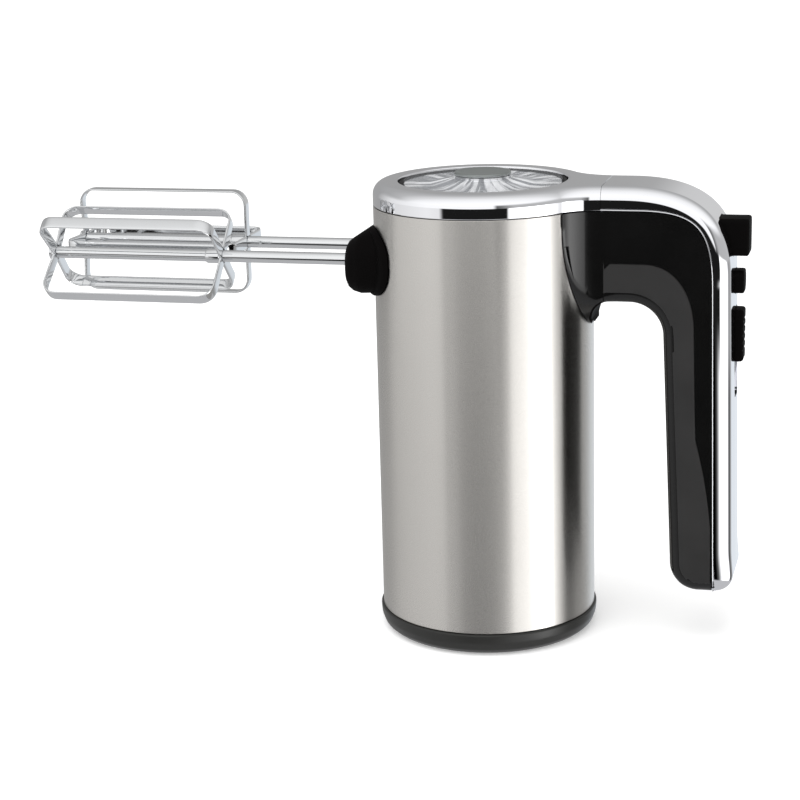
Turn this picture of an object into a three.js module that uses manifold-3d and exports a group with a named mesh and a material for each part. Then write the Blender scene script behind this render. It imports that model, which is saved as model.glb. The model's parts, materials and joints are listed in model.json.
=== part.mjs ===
// Stand-up hand mixer: a steel cylinder that stands on its heel, with two
// beaters out of the nose near the top and a handle that bends down on the other side.
// Units are millimetres. +Z is up, the origin is the centre of the heel on the table,
// the beaters point to -X, the handle is on +X. Left is -Y and right is +Y.
import * as THREE from 'three';
import { mergeVertices } from 'three/addons/utils/BufferGeometryUtils.js';
import Module from 'manifold-3d';

const wasm = await Module();
wasm.setup();

// ---------------------------------------------------------------- driving dimensions
const GAP = 0.3;                // between pieces that touch
const ROUND = 48;               // sides of the large round pieces
const BODY_R = 45;              // outside of the steel sleeve
const SLEEVE_WALL = 0.8;
const BASE_TOP = 9.5;           // top of the black heel
const BODY_TOP = 180.6;         // bottom of the chrome band
const TOP = 190;                // top of the chrome ring and handle
const HANDLE_HALF = 18;         // half the handle's width
const ROOT_FILLET = 19.2;       // plan fillet between the round body and the handle
const SHOULDER_DOWN = 5.2;      // rounded shoulder along the chrome: how far down
const SHOULDER_IN = 5;          // and how far in
const SEAM_X = 51;              // joint between the top ring and the handle trim
const RECESS_R = 34.6;          // recess for the cap in the top ring
const LENS_R = 32.4;            // reflector and lens
const DISH_R = 21.4;            // where the lens starts to rise towards the badge
const BADGE_R = 11.6;
const HANDLE_END = 23.8;        // lower end of the handle
const TRIM_SKIN = 2.5;
const SHELL_WALL = 2.4;
const INLAY_WALL = 2.35;

const BEATER_Y = 16.4;          // half the distance between the beaters
const BEATER_Z = 158.6;
const BEATER_TIP = -184.4;
const WING_END = -107;          // end of the wings towards the body
const WING_SETBACK = 1.2;       // the wings' corners stand this far behind the rod's tip
const WING_START = BEATER_TIP + 2;
const WING_R = 22.4;
const WING_WIDTH = 5.5;
const WING_THICK = 1;
const ROD_R = 2.5;
const SHANK_END = -6;
const NOSE_FACE = -53.6;

const MOTOR_X = -8;             // motor and worm axis
const SHAFT_R = 2;
const STATOR_LOW = 52;
const STATOR_HIGH = 92;
const GEAR_PLATE = 140;         // underside of the gearbox plate
const WHEEL_TEETH = 24;
const WORM_STARTS = 2;
const WHEEL_PITCH_R = 12;       // module 1
const WORM_PITCH_R = BEATER_Y - WHEEL_PITCH_R;
const WORM_LEAD = WORM_STARTS * Math.PI;
const TUBE_R = 5;
const TUBE_BORE = 2.8;
const TUBE_REAR = 5;

const EJECT = { low: 161.4, high: 176.2, half: 6.6, face: 108.5 };
const TURBO = { low: 145.8, high: 155.2, half: 4.8, face: 106.7 };
const SLIDER = { low: 118.1, high: 139.3, half: 4.8, face: 106.5, travel: 14 };
const STEM = { low: 125.5, high: 133.5, half: 2.4 };
const SLOT_FLOOR = 102;         // bottom of the slot the speed slider runs in
const ROD_Z = 170;              // height of the ejector rod

// ---------------------------------------------------------------- finishes
function finish(color, roughness, metalness) {
  return new THREE.MeshStandardMaterial({ color, roughness, metalness });
}
const STEEL = finish(0xb4b1ab, 0.35, 1);
const CHROME = finish(0xd6d8dc, 0.08, 1);
const BLACK = finish(0x121212, 0.2, 0);
const SOFT_BLACK = finish(0x2c2b2b, 0.55, 0);
const HEEL = finish(0x3c3c3a, 0.35, 0);
const RUBBER = finish(0x1a1a1a, 0.8, 0);
const CLEAR = new THREE.MeshStandardMaterial({
  color: 0xf0f2f5, roughness: 0.05, metalness: 0, transparent: true, opacity: 0.35,
});
const GREY = finish(0x8f9396, 0.3, 0.4);
const NYLON = finish(0xe4dfd0, 0.5, 0);
const FRAME_GREY = finish(0x8a8c8e, 0.5, 0.8);
const CORE = finish(0x5b5e63, 0.5, 0.9);
const COPPER = finish(0xb8692f, 0.4, 0.9);
const BRASS = finish(0xc9a24a, 0.3, 1);
const CARBON = finish(0x222224, 0.7, 0);
const BOARD = finish(0x1f5a34, 0.6, 0);

// ---------------------------------------------------------------- solids
const rad = THREE.MathUtils.degToRad;
const point = (x, y) => new THREE.Vector2(x, y);

// A closed geometry as a manifold solid with its faces pointing out.
function solid(geometry) {
  const bare = geometry.index ? geometry.toNonIndexed() : geometry.clone();
  bare.deleteAttribute('normal');
  bare.deleteAttribute('uv');
  const merged = mergeVertices(bare, 1e-5);
  const at = merged.attributes.position.array;
  const corners = [];
  let volume = 0;
  for (let i = 0; i < merged.index.count; i += 3) {
    const [a, b, c] = [0, 1, 2].map((k) => merged.index.getX(i + k));
    if (a === b || b === c || c === a) continue;
    corners.push(a, b, c);
    const [p, q, r] = [a, b, c].map((k) => new THREE.Vector3().fromArray(at, 3 * k));
    volume += p.dot(q.cross(r));
  }
  if (volume < 0) corners.reverse();
  return new wasm.Manifold(new wasm.Mesh({
    numProp: 3, vertProperties: new Float32Array(at), triVerts: new Uint32Array(corners),
  }));
}

const join = (...parts) => parts.reduce((sum, part) => sum.add(part));
const cut = (body, ...tools) => tools.reduce((left, tool) => left.subtract(tool), body);

// Direction of a prism: outline's first axis, outline's second axis, extrusion axis.
const ALONG = {
  x: new THREE.Matrix4().makeBasis(
    new THREE.Vector3(0, 1, 0), new THREE.Vector3(0, 0, 1), new THREE.Vector3(1, 0, 0)),
  y: new THREE.Matrix4().makeBasis(
    new THREE.Vector3(1, 0, 0), new THREE.Vector3(0, 0, 1), new THREE.Vector3(0, -1, 0)),
  z: new THREE.Matrix4(),
};

// Prism of a closed outline from low to high along an axis: x takes (y, z) points,
// y takes (x, z) points and z takes (x, y) points.
function prism(axis, outline, low, high, round = null) {
  const from = axis === 'y' ? -high : low;
  const edge = round ? {
    bevelEnabled: true, bevelThickness: round.across, bevelSize: round.along,
    bevelOffset: -round.along, bevelSegments: round.steps,
  } : { bevelEnabled: false };
  const margin = round ? round.across : 0;
  const geometry = new THREE.ExtrudeGeometry(new THREE.Shape(outline), {
    depth: high - low - 2 * margin, steps: 1, ...edge,
  });
  geometry.translate(0, 0, from + margin);
  return solid(geometry.applyMatrix4(ALONG[axis]));
}

const box = (x0, x1, y0, y1, z0, z1) => solid(
  new THREE.BoxGeometry(x1 - x0, y1 - y0, z1 - z0).translate((x0 + x1) / 2, (y0 + y1) / 2, (z0 + z1) / 2));

// Turned solid about a vertical axis; the profile is a closed list of [radius, height].
function turned(profile, segments, x = 0, y = 0) {
  const points = [...profile, profile[0]].map(([r, z]) => point(r, z));
  const geometry = new THREE.LatheGeometry(points, segments);
  return solid(geometry.rotateX(Math.PI / 2).translate(x, y, 0));
}

// Rod or disc between two places on an axis, centred on the other two coordinates.
function rod(axis, radius, low, high, a, b, segments = 20) {
  const geometry = new THREE.CylinderGeometry(radius, radius, high - low, segments);
  const middle = (low + high) / 2;
  if (axis === 'x') geometry.rotateZ(Math.PI / 2).translate(middle, a, b);
  if (axis === 'y') geometry.translate(a, middle, b);
  if (axis === 'z') geometry.rotateX(Math.PI / 2).translate(a, b, middle);
  return solid(geometry);
}

const tube = (axis, outer, inner, low, high, a, b, segments = 16) => cut(
  rod(axis, outer, low, high, a, b, segments), rod(axis, inner, low - 1, high + 1, a, b, segments));

const group = new THREE.Group();

function add(name, body, material) {
  const { numProp, vertProperties, triVerts } = body.getMesh();
  const geometry = new THREE.BufferGeometry();
  geometry.setAttribute('position', new THREE.BufferAttribute(new Float32Array(vertProperties), numProp));
  geometry.setIndex(new THREE.BufferAttribute(new Uint32Array(triVerts), 1));
  geometry.computeVertexNormals();
  const mesh = new THREE.Mesh(geometry, material);
  mesh.name = name;
  group.add(mesh);
}

// ---------------------------------------------------------------- outlines
const arc = (x, y, rx, ry, from, to, steps) => Array.from({ length: steps + 1 }, (_, i) => {
  const angle = rad(from + (to - from) * i / steps);
  return point(x + rx * Math.cos(angle), y + ry * Math.sin(angle));
});

const bezier = (a, b, c, d, steps) => new THREE.CubicBezierCurve(
  point(...a), point(...b), point(...c), point(...d)).getPoints(steps);

const roundRect = (x, y, halfX, halfY, r, steps = 4) => [
  ...arc(x + halfX - r, y + halfY - r, r, r, 0, 90, steps),
  ...arc(x - halfX + r, y + halfY - r, r, r, 90, 180, steps),
  ...arc(x - halfX + r, y - halfY + r, r, r, 180, 270, steps),
  ...arc(x + halfX - r, y - halfY + r, r, r, 270, 360, steps),
];

// The same open path moved sideways, to its left for a positive distance.
function offsetPath(path, distance) {
  return path.map((here, i) => {
    const before = path[Math.max(i - 1, 0)];
    const after = path[Math.min(i + 1, path.length - 1)];
    const run = point(after.x - before.x, after.y - before.y).normalize();
    return point(here.x - run.y * distance, here.y + run.x * distance);
  });
}

// Plan of the round body running into the handle, out to x = end.
function bodyPlan(radius, half, fillet, end) {
  const turn = Math.asin((half + fillet) / (radius + fillet)) * 180 / Math.PI;
  const centreX = (radius + fillet) * Math.cos(rad(turn));
  const centreY = half + fillet;
  return [
    ...arc(0, 0, radius, radius, turn, 360 - turn, 36),
    ...arc(centreX, -centreY, fillet, fillet, 180 - turn, 90, 6).slice(1),
    point(end, -half), point(end, half),
    ...arc(centreX, centreY, fillet, fillet, 270, 180 + turn, 6).slice(0, -1),
  ];
}

// Side view of the handle: three open paths, each from the body to the handle's lower end.
const outerPath = [
  point(30, TOP),
  ...bezier([60, TOP], [88, TOP], [102.7, 179], [102.8, 152], 14),
  ...arc(97.8, HANDLE_END + 7, 7, 7, 0, -90, 6),
];
const trimPath = [
  point(30, BODY_TOP),
  ...bezier([66, BODY_TOP], [89, BODY_TOP], [95.1, 174.4], [95.2, 148.5], 12),
  point(96.8, HANDLE_END),
];
const gripPath = [
  ...arc(53.8, 133.5, 7.6, 10.2, 180, 90, 5),
  ...arc(62.3, 130.2, 13.5, 13.5, 90, 0, 8),
  ...arc(91.4, 36, 12.2, 12.2, 180, 270, 7),
  point(94.2, HANDLE_END),
];
const padPath = [
  point(52.1, 139.5), point(52.1, 157), point(54.6, 159.5),
  ...bezier([68.3, 159.5], [80.3, 159.5], [88.3, 148.5], [88.3, 132.5], 8),
  point(89.8, HANDLE_END - 1),
];
const region = (outer, inner) => [...outer, ...[...inner].reverse()];

// ---------------------------------------------------------------- heel and body
const noseWindow = prism('x', roundRect(0, 157, 24, 11, 5), -60, -20);
const handleWindow = prism('x', roundRect(0, 163, 11, 13, 4), 20, 60);

function makeBody() {
  const sleeve = turned([
    [BODY_R, BASE_TOP + GAP], [BODY_R, BODY_TOP - GAP],
    [BODY_R - SLEEVE_WALL, BODY_TOP - GAP], [BODY_R - SLEEVE_WALL, BASE_TOP + GAP],
  ], ROUND);
  add('body_sleeve', cut(sleeve, noseWindow, handleWindow), STEEL);

  const heelFloor = 0.6;
  const heel = turned([
    [0, heelFloor], [42.6, heelFloor], [44.6, 2.6], [45.7, 5.6], [46, BASE_TOP], [43.6, BASE_TOP],
    [43.6, BASE_TOP + 5], [41.4, BASE_TOP + 5], [41.4, 4], [0, 4],
  ], ROUND);
  const groove = turned([[34.7, 0], [40.8, 0], [40.8, 2.8], [34.7, 2.8]], 32);
  const slot = (angle) => solid(new THREE.BoxGeometry(12, 3, 8).translate(25, 0, 2).rotateZ(angle));
  const vents = Array.from({ length: 8 }, (_, i) => slot(rad(22.5 + 45 * i)));
  const screwHoles = [0, 180].map((turn) => rod('z', 3.6, 0, 8, 14.5 * Math.cos(rad(turn)), 0, 16));
  const padHole = rod('z', 9.3, 0, 2.8, 0, 0, 24);
  add('base_cap', cut(heel, groove, padHole, ...vents, ...screwHoles), HEEL);
  add('foot_ring', turned([[35, 0], [40.5, 0], [40.5, 2.5], [35, 2.5]], 32), RUBBER);
  add('foot_pad', rod('z', 9, 0, 2.5, 0, 0, 24), RUBBER);
  [0, 180].forEach((turn, i) => {
    const x = 14.5 * Math.cos(rad(turn));
    const head = rod('z', 3.2, 1.2, 3.4, x, 0, 12);
    const shank = rod('z', 1.5, 3, 11, x, 0, 8);
    const cross = join(box(x - 2, x + 2, -0.4, 0.4, 1, 2.2), box(x - 0.4, x + 0.4, -2, 2, 1, 2.2));
    add(`base_screw_${i + 1}`, cut(join(head, shank), cross), CORE);
  });
}

// ---------------------------------------------------------------- chrome top and cap
const shoulder = { across: SHOULDER_DOWN, along: SHOULDER_IN, steps: 3 };
const chromePlan = () => cut(
  prism('z', bodyPlan(BODY_R, HANDLE_HALF, ROOT_FILLET, 75), 160, TOP, shoulder),
  box(-60, 90, -60, 60, 150, BODY_TOP));

function makeTop() {
  const ledge = LENS_R - 1.9;
  const inside = turned([
    [0, 170], [42, 170], [42, 183.5], [ledge, 183.5], [ledge, 187],
    [RECESS_R, 187], [RECESS_R, TOP + 1], [0, TOP + 1],
  ], ROUND);
  const beyondSeam = box(SEAM_X - GAP / 2, 100, -40, 40, 150, 200);
  const wireWay = box(30, 60, -10, 10, 170, 186);
  add('top_ring', cut(chromePlan(), inside, beyondSeam, wireWay), CHROME);
  const [sealIn, sealOut] = [LENS_R + GAP, RECESS_R - GAP];
  add('cap_seal', turned([[sealIn, 187.3], [sealOut, 187.3], [sealOut, 189.2], [sealIn, 189.2]], 36), RUBBER);
  const dome = BADGE_R + 0.2;
  add('cap_reflector', turned([
    [0, 187.3], [LENS_R, 187.3], [LENS_R, 188.6], [DISH_R, 188.6], [dome, 190.8], [dome, 191.6], [0, 191.6],
  ], 36), GREY);
  add('cap_lens', turned([
    [LENS_R, 188.9], [LENS_R, 190], [DISH_R, 191.2], [BADGE_R + 0.6, 192.8],
    [BADGE_R + 0.6, 191.2], [DISH_R + GAP, 188.9],
  ], 36), CLEAR);
  add('cap_badge', turned([
    [0, 191.9], [BADGE_R, 191.9], [BADGE_R, 192.8], [BADGE_R - 0.6, 193.2], [0, 193.2],
  ], 28), GREY);
}

// ---------------------------------------------------------------- handle
const window = ({ low, high, half }, from) => prism(
  'x', roundRect(0, (low + high) / 2, half + GAP, (high - low) / 2 + GAP, 1.5), from, 115);
const sliderSlot = () => {
  const half = SLIDER.half + 1;
  return box(SLOT_FLOOR, 115, -half, half, SLIDER.low - SLIDER.travel - 0.8, SLIDER.high + 0.8);
};
const stemSlot = () => {
  const half = STEM.half + 0.4;
  return box(90, 115, -half, half, STEM.low - SLIDER.travel - 1, STEM.high + 1);
};
const trimWindows = () => [window(EJECT, 80), window(TURBO, 90), stemSlot(), sliderSlot()];

function makeTrim() {
  const insideOfBend = [point(30, 160), point(65, 160), point(78, 145), point(78, HANDLE_END)];
  const rounded = prism('y', region(outerPath, insideOfBend), -HANDLE_HALF, HANDLE_HALF,
    { across: SHOULDER_IN, along: SHOULDER_DOWN, steps: 3 });
  const band = prism('y', region(outerPath, trimPath), -40, 40);
  const bendStart = 57;
  const bend = rounded.intersect(band).intersect(box(bendStart, 120, -40, 40, 0, 200));
  const beforeSeam = box(-60, SEAM_X + GAP / 2, -60, 60, 150, 200);
  const atRoot = cut(chromePlan(), beforeSeam, box(bendStart, 120, -60, 60, 150, 200));
  const pocketHalf = HANDLE_HALF - 2.85;
  const pocketSide = region(offsetPath(outerPath, -TRIM_SKIN), offsetPath(trimPath, -6));
  const pocket = prism('y', pocketSide, -pocketHalf, pocketHalf).intersect(box(30, 120, -40, 40, 27, 200));
  add('handle_trim', cut(join(bend, atRoot), pocket, ...trimWindows()), CHROME);
}

// The handle's black part: everything under the chrome, with the round root on the body.
function gripOutside(sleeveTool, underTrim) {
  const intoBody = [point(20, 118), point(gripPath[0].x, 118)];
  const beyondTrim = [point(20, 196), point(115, 196), point(115, HANDLE_END)];
  const gripOutline = region(beyondTrim, [...intoBody, ...gripPath]);
  const rounded = prism('y', gripOutline, -HANDLE_HALF, HANDLE_HALF, { across: 3.2, along: 5, steps: 3 });
  const body = rounded.intersect(prism('y', region(underTrim, gripPath), -40, 40));

  // root: the body's plan, bounded from below by an ellipse in the front view
  const plan = bodyPlan(BODY_R + 0.6, HANDLE_HALF, ROOT_FILLET - 0.6, 60);
  const rootEllipse = prism('x', arc(0, 175, 26, 43.5, 0, 360, 28), 20, 70);
  const openingEdge = gripPath.slice(0, 6);
  const rootSide = prism('y', [
    point(20, 200), point(60, 200), point(60, openingEdge[5].y),
    ...[...openingEdge].reverse(), point(20, 130),
  ], -40, 40);
  const root = prism('z', plan, 120, BODY_TOP - GAP).intersect(rootEllipse).intersect(rootSide);
  return cut(join(body, root), sleeveTool);
}

function makeGrip() {
  const sleeveTool = rod('z', BODY_R + GAP, 100, 200, 0, 0, ROUND);
  const underTrim = offsetPath(trimPath, -GAP);
  const outside = gripOutside(sleeveTool, underTrim);
  const coreHalf = HANDLE_HALF - INLAY_WALL;
  const cavityHalf = coreHalf - GAP - SHELL_WALL;

  const pastGrip = offsetPath(gripPath.slice(5), -2);
  const padArea = prism('y', region(padPath, pastGrip), -40, 40);
  const padCore = prism('y', region(offsetPath(trimPath, 6), offsetPath(gripPath, 2)), -coreHalf, coreHalf);
  const inletHole = rod('z', 5.6, 10, 34, 90.5, 0, 24);
  const padClear = prism('y', region(offsetPath(padPath, GAP), pastGrip), -40, 40);
  const pad = outside.intersect(padArea).subtract(padCore);
  add('grip_inlay', cut(pad, inletHole, sleeveTool), SOFT_BLACK);

  const coreFace = offsetPath(gripPath, 2 + GAP);
  const core = prism('y', region(underTrim, coreFace), GAP - coreHalf, coreHalf - GAP)
    .intersect(box(50, 120, -40, 40, 25, 200));
  const cavityFace = offsetPath(gripPath, 2 + GAP + SHELL_WALL);
  const cavity = prism('y', region(offsetPath(trimPath, 6), cavityFace), -cavityHalf, cavityHalf)
    .intersect(box(40, 120, -40, 40, 28, 200));
  const wireWay = box(30, 62, -10.8, 10.8, 151, 176);
  const shell = cut(join(outside.subtract(padClear), core), cavity, wireWay, inletHole, sleeveTool);
  const seatHalf = cavityHalf + 0.4;
  const overTrim = prism('y', region(trimPath, offsetPath(trimPath, 30)), -40, 40);
  const seatBore = rod('x', 3.2, 60, 70, 0, ROD_Z, 16);
  const springSeat = cut(box(64.5, 67, -seatHalf, seatHalf, 150, 179), seatBore, overTrim);
  const full = join(shell, springSeat);
  add('handle_shell_left', full.subtract(box(0, 120, -GAP / 2, 60, 0, 200)), BLACK);
  add('handle_shell_right', full.subtract(box(0, 120, -60, GAP / 2, 0, 200)), BLACK);
  add('cord_inlet', tube('z', 5.2, 3.2, HANDLE_END + 0.4, 33, 90.5, 0), RUBBER);
}

function makeControls() {
  const { low, high, half, face } = EJECT;
  const middle = (low + high) / 2;
  const cap = prism('x', roundRect(0, middle, half, (high - low) / 2, 1.6), 94, face,
    { across: 1.2, along: 0.9, steps: 2 });
  const flange = box(89, 94.5, -half + 0.6, half - 0.6, middle - 5.5, middle + 5.5);
  add('eject_button', join(cap, flange), BLACK);
  const yoke = box(16, 19, -20, 20, 154, 173).subtract(box(10, 25, -9, 9, 150, 165));
  const pins = [-BEATER_Y, BEATER_Y].map((y) => rod('x', 2, TUBE_REAR - 0.5, 17, y, BEATER_Z, 16));
  add('eject_rod', join(rod('x', 2, 18, 88.7, 0, ROD_Z, 16), yoke, ...pins), NYLON);
  add('eject_spring', tube('x', 4.4, 2.6, 67.3, 88.4, 0, ROD_Z, 14), STEEL);

  const turboMiddle = (TURBO.low + TURBO.high) / 2;
  const turboOutline = roundRect(0, turboMiddle, TURBO.half, (TURBO.high - TURBO.low) / 2, 1.4);
  const turboCap = prism('x', turboOutline, 96, TURBO.face, { across: 0.9, along: 0.7, steps: 2 });
  add('turbo_button', join(turboCap, rod('x', 1.8, 94, 97, 0, turboMiddle, 16)), BLACK);
  add('turbo_spring', tube('x', 3.4, 2.3, 91.3, 95.7, 0, turboMiddle, 14), STEEL);
  add('turbo_switch', box(82.5, 91, -7, 7, 145, 158), NYLON);

  const sliderMiddle = (SLIDER.low + SLIDER.high) / 2;
  const knobOutline = roundRect(0, sliderMiddle, SLIDER.half, (SLIDER.high - SLIDER.low) / 2, 1.4);
  const knob = prism('x', knobOutline, SLOT_FLOOR + 0.4, SLIDER.face, { across: 0.9, along: 0.7, steps: 2 });
  const ridges = [-6, -3, 0, 3, 6].map((dz) => (
    box(SLIDER.face - 0.7, SLIDER.face + 1, -8, 8, sliderMiddle + dz - 0.5, sliderMiddle + dz + 0.5)));
  const stem = box(94.6, SLOT_FLOOR + 0.8, -STEM.half, STEM.half, STEM.low, STEM.high);
  add('speed_slider', join(cut(knob, ...ridges), stem), BLACK);
  add('speed_switch', box(86, 94.2, -7, 7, 102, 142), CARBON);
  add('control_board', box(85.8, 87.4, -8.5, 8.5, 44, 100), BOARD);
}

// ---------------------------------------------------------------- nose
function makeNose() {
  // sections of the block from the body to the face: [x, half width, low, high, corner radius]
  const sections = [
    [-30, 27, 145.6, 172, 9], [-45, 25.6, 146.2, 170.2, 9], [-51, 23.8, 147, 168, 8.5],
    [-52.9, 22.4, 148.1, 166.6, 8], [NOSE_FACE, 21, 149.3, 165.4, 7.4],
  ];
  const rings = sections.map(([x, half, low, high, r]) => (
    roundRect(0, (low + high) / 2, half, (high - low) / 2, r, 3).map((p) => new THREE.Vector3(x, p.x, p.y))));
  const block = loft(rings);
  const flange = prism('x', roundRect(0, 158.5, 31.4, 14, 12.5, 6), -60, -20)
    .intersect(rod('z', BODY_R + 2.4, 130, 179.5, 0, 0, ROUND));
  const holes = [-BEATER_Y, BEATER_Y].flatMap((y) => [
    rod('x', 6.5, -51, -20, y, BEATER_Z), rod('x', 4, -60, -40, y, BEATER_Z)]);
  const sleeveTool = rod('z', BODY_R + GAP, 100, 200, 0, 0, ROUND);
  add('nose_housing', cut(join(block, flange), sleeveTool, ...holes), BLACK);
  [['left', -BEATER_Y], ['right', BEATER_Y]].forEach(([side, y]) => {
    add(`spindle_bush_${side}`, tube('x', 6.2, TUBE_R + GAP, -50.7, -44, y, BEATER_Z), BRASS);
  });
}

// Closed body through a list of rings with the same number of points.
function loft(rings) {
  const count = rings[0].length;
  const positions = rings.flat().flatMap((p) => [p.x, p.y, p.z]);
  const faces = [];
  for (let k = 0; k + 1 < rings.length; k += 1) {
    for (let i = 0; i < count; i += 1) {
      const [a, b] = [k * count + i, k * count + (i + 1) % count];
      faces.push(a, b, a + count, b, b + count, a + count);
    }
  }
  const last = (rings.length - 1) * count;
  for (let i = 1; i + 1 < count; i += 1) {
    faces.push(0, i + 1, i);
    faces.push(last, last + i, last + i + 1);
  }
  const geometry = new THREE.BufferGeometry();
  geometry.setAttribute('position', new THREE.BufferAttribute(new Float32Array(positions), 3));
  geometry.setIndex(faces);
  return solid(geometry);
}

// ---------------------------------------------------------------- gearbox and drive
// Gear-like prism along Z that turns as it rises, so its teeth follow a helix.
function twisted(outline, low, high, turnPerMm, steps) {
  const geometry = new THREE.ExtrudeGeometry(new THREE.Shape(outline), {
    depth: high - low, steps, bevelEnabled: false,
  }).translate(0, 0, low);
  const at = geometry.attributes.position;
  for (let i = 0; i < at.count; i += 1) {
    const turn = at.getZ(i) * turnPerMm;
    const [x, y] = [at.getX(i), at.getY(i)];
    at.setXY(i, x * Math.cos(turn) - y * Math.sin(turn), x * Math.sin(turn) + y * Math.cos(turn));
  }
  return geometry;
}

function makeDrive() {
  const dedendum = 1.25;
  const addendum = 0.85;
  // one tooth: [share of a pitch, share of the height]
  const toothShape = [[-0.34, 0], [-0.14, 1], [0.14, 1], [0.34, 0]];
  const wheelOutline = Array.from({ length: WHEEL_TEETH }, (_, tooth) => toothShape.map(([at, up]) => {
    const angle = (tooth + at) / WHEEL_TEETH * 2 * Math.PI;
    const r = WHEEL_PITCH_R - dedendum + (addendum + dedendum) * up;
    return point(r * Math.cos(angle), r * Math.sin(angle));
  })).flat();

  // the worm's flanks are straight along the shaft, so its cross-section is a cam
  const wormRoot = WORM_PITCH_R - dedendum;
  const wormTip = WORM_PITCH_R + addendum;
  const threadHeight = (share) => {
    const away = Math.abs(share - Math.round(share));
    return THREE.MathUtils.clamp((0.31 - away) / 0.2, 0, 1);
  };
  const camPoints = 20;
  const cam = Array.from({ length: camPoints }, (_, i) => {
    const turn = i / camPoints;
    const r = wormRoot + (wormTip - wormRoot) * threadHeight(turn * WORM_STARTS);
    return point(r * Math.cos(2 * Math.PI * turn), r * Math.sin(2 * Math.PI * turn));
  });
  const wormLow = 152;
  const wormHigh = 165.4;
  const thread = twisted(cam, wormLow, wormHigh, 2 * Math.PI / WORM_LEAD, 20);
  thread.rotateZ(-BEATER_Z * 2 * Math.PI / WORM_LEAD);
  thread.translate(MOTOR_X, 0, 0);
  const wormBore = rod('z', SHAFT_R + GAP, 140, 180, MOTOR_X, 0, 16);
  add('worm', cut(solid(thread), wormBore), STEEL);

  const faceHalf = 3.5;
  const helix = 1 / (WORM_PITCH_R * WHEEL_PITCH_R);                     // turn per mm of face width
  [['left', -BEATER_Y], ['right', BEATER_Y]].forEach(([side, y]) => {
    const teeth = twisted(wheelOutline, -faceHalf, faceHalf, helix, 1);
    teeth.applyMatrix4(ALONG.x).translate(MOTOR_X, y, BEATER_Z);
    const hub = rod('x', 7.6, MOTOR_X - 5.6, MOTOR_X + 5.6, y, BEATER_Z);
    const bore = rod('x', TUBE_R + GAP, -40, 40, y, BEATER_Z);
    add(`worm_wheel_${side}`, cut(join(solid(teeth), hub), bore), NYLON);
    add(`spindle_${side}`, tube('x', TUBE_R, TUBE_BORE, -50.4, TUBE_REAR, y, BEATER_Z), STEEL);
  });

  const shaftBores = [-BEATER_Y, BEATER_Y].map((y) => rod('x', TUBE_R + GAP, -60, 40, y, BEATER_Z));
  const plate = rod('z', 40, GEAR_PLATE, GEAR_PLATE + 3, 0, 0, 32);
  const wall = (x0, x1) => box(x0, x1, -24, 24, GEAR_PLATE + 2, 172);
  const posts = [[-21, -18], [-21, 18], [21, -18], [21, 18]].map(([dx, y]) => (
    rod('z', 3, STATOR_HIGH + GAP, GEAR_PLATE + 1, MOTOR_X + dx, y, 10)));
  const shaftPass = rod('z', 7, 130, 145, MOTOR_X, 0);
  const gearbox = join(plate, wall(-36, -32.5), wall(0.5, 4.2), ...posts);
  add('gearbox_housing', cut(gearbox, ...shaftBores, shaftPass), FRAME_GREY);
  const coverLow = 172 + GAP;
  add('gearbox_cover', cut(box(-37, 5, -24, 24, coverLow, 178.5), rod('z', 5.8, 170, 176, MOTOR_X, 0),
    rod('z', 3, 170, 180, MOTOR_X, 0)), FRAME_GREY);
  add('upper_bearing', tube('z', 5.5, SHAFT_R + GAP, coverLow + 0.2, 175.7, MOTOR_X, 0), BRASS);
}

// ---------------------------------------------------------------- motor
// Ring segment about the motor axis, between two radii and over an angle each side of a direction.
function ringPiece(inner, outer, towards, spread, low, high) {
  const outline = [
    ...arc(MOTOR_X, 0, outer, outer, towards - spread, towards + spread, 6),
    ...arc(MOTOR_X, 0, inner, inner, towards + spread, towards - spread, 6),
  ];
  return prism('z', outline, low, high);
}

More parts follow.
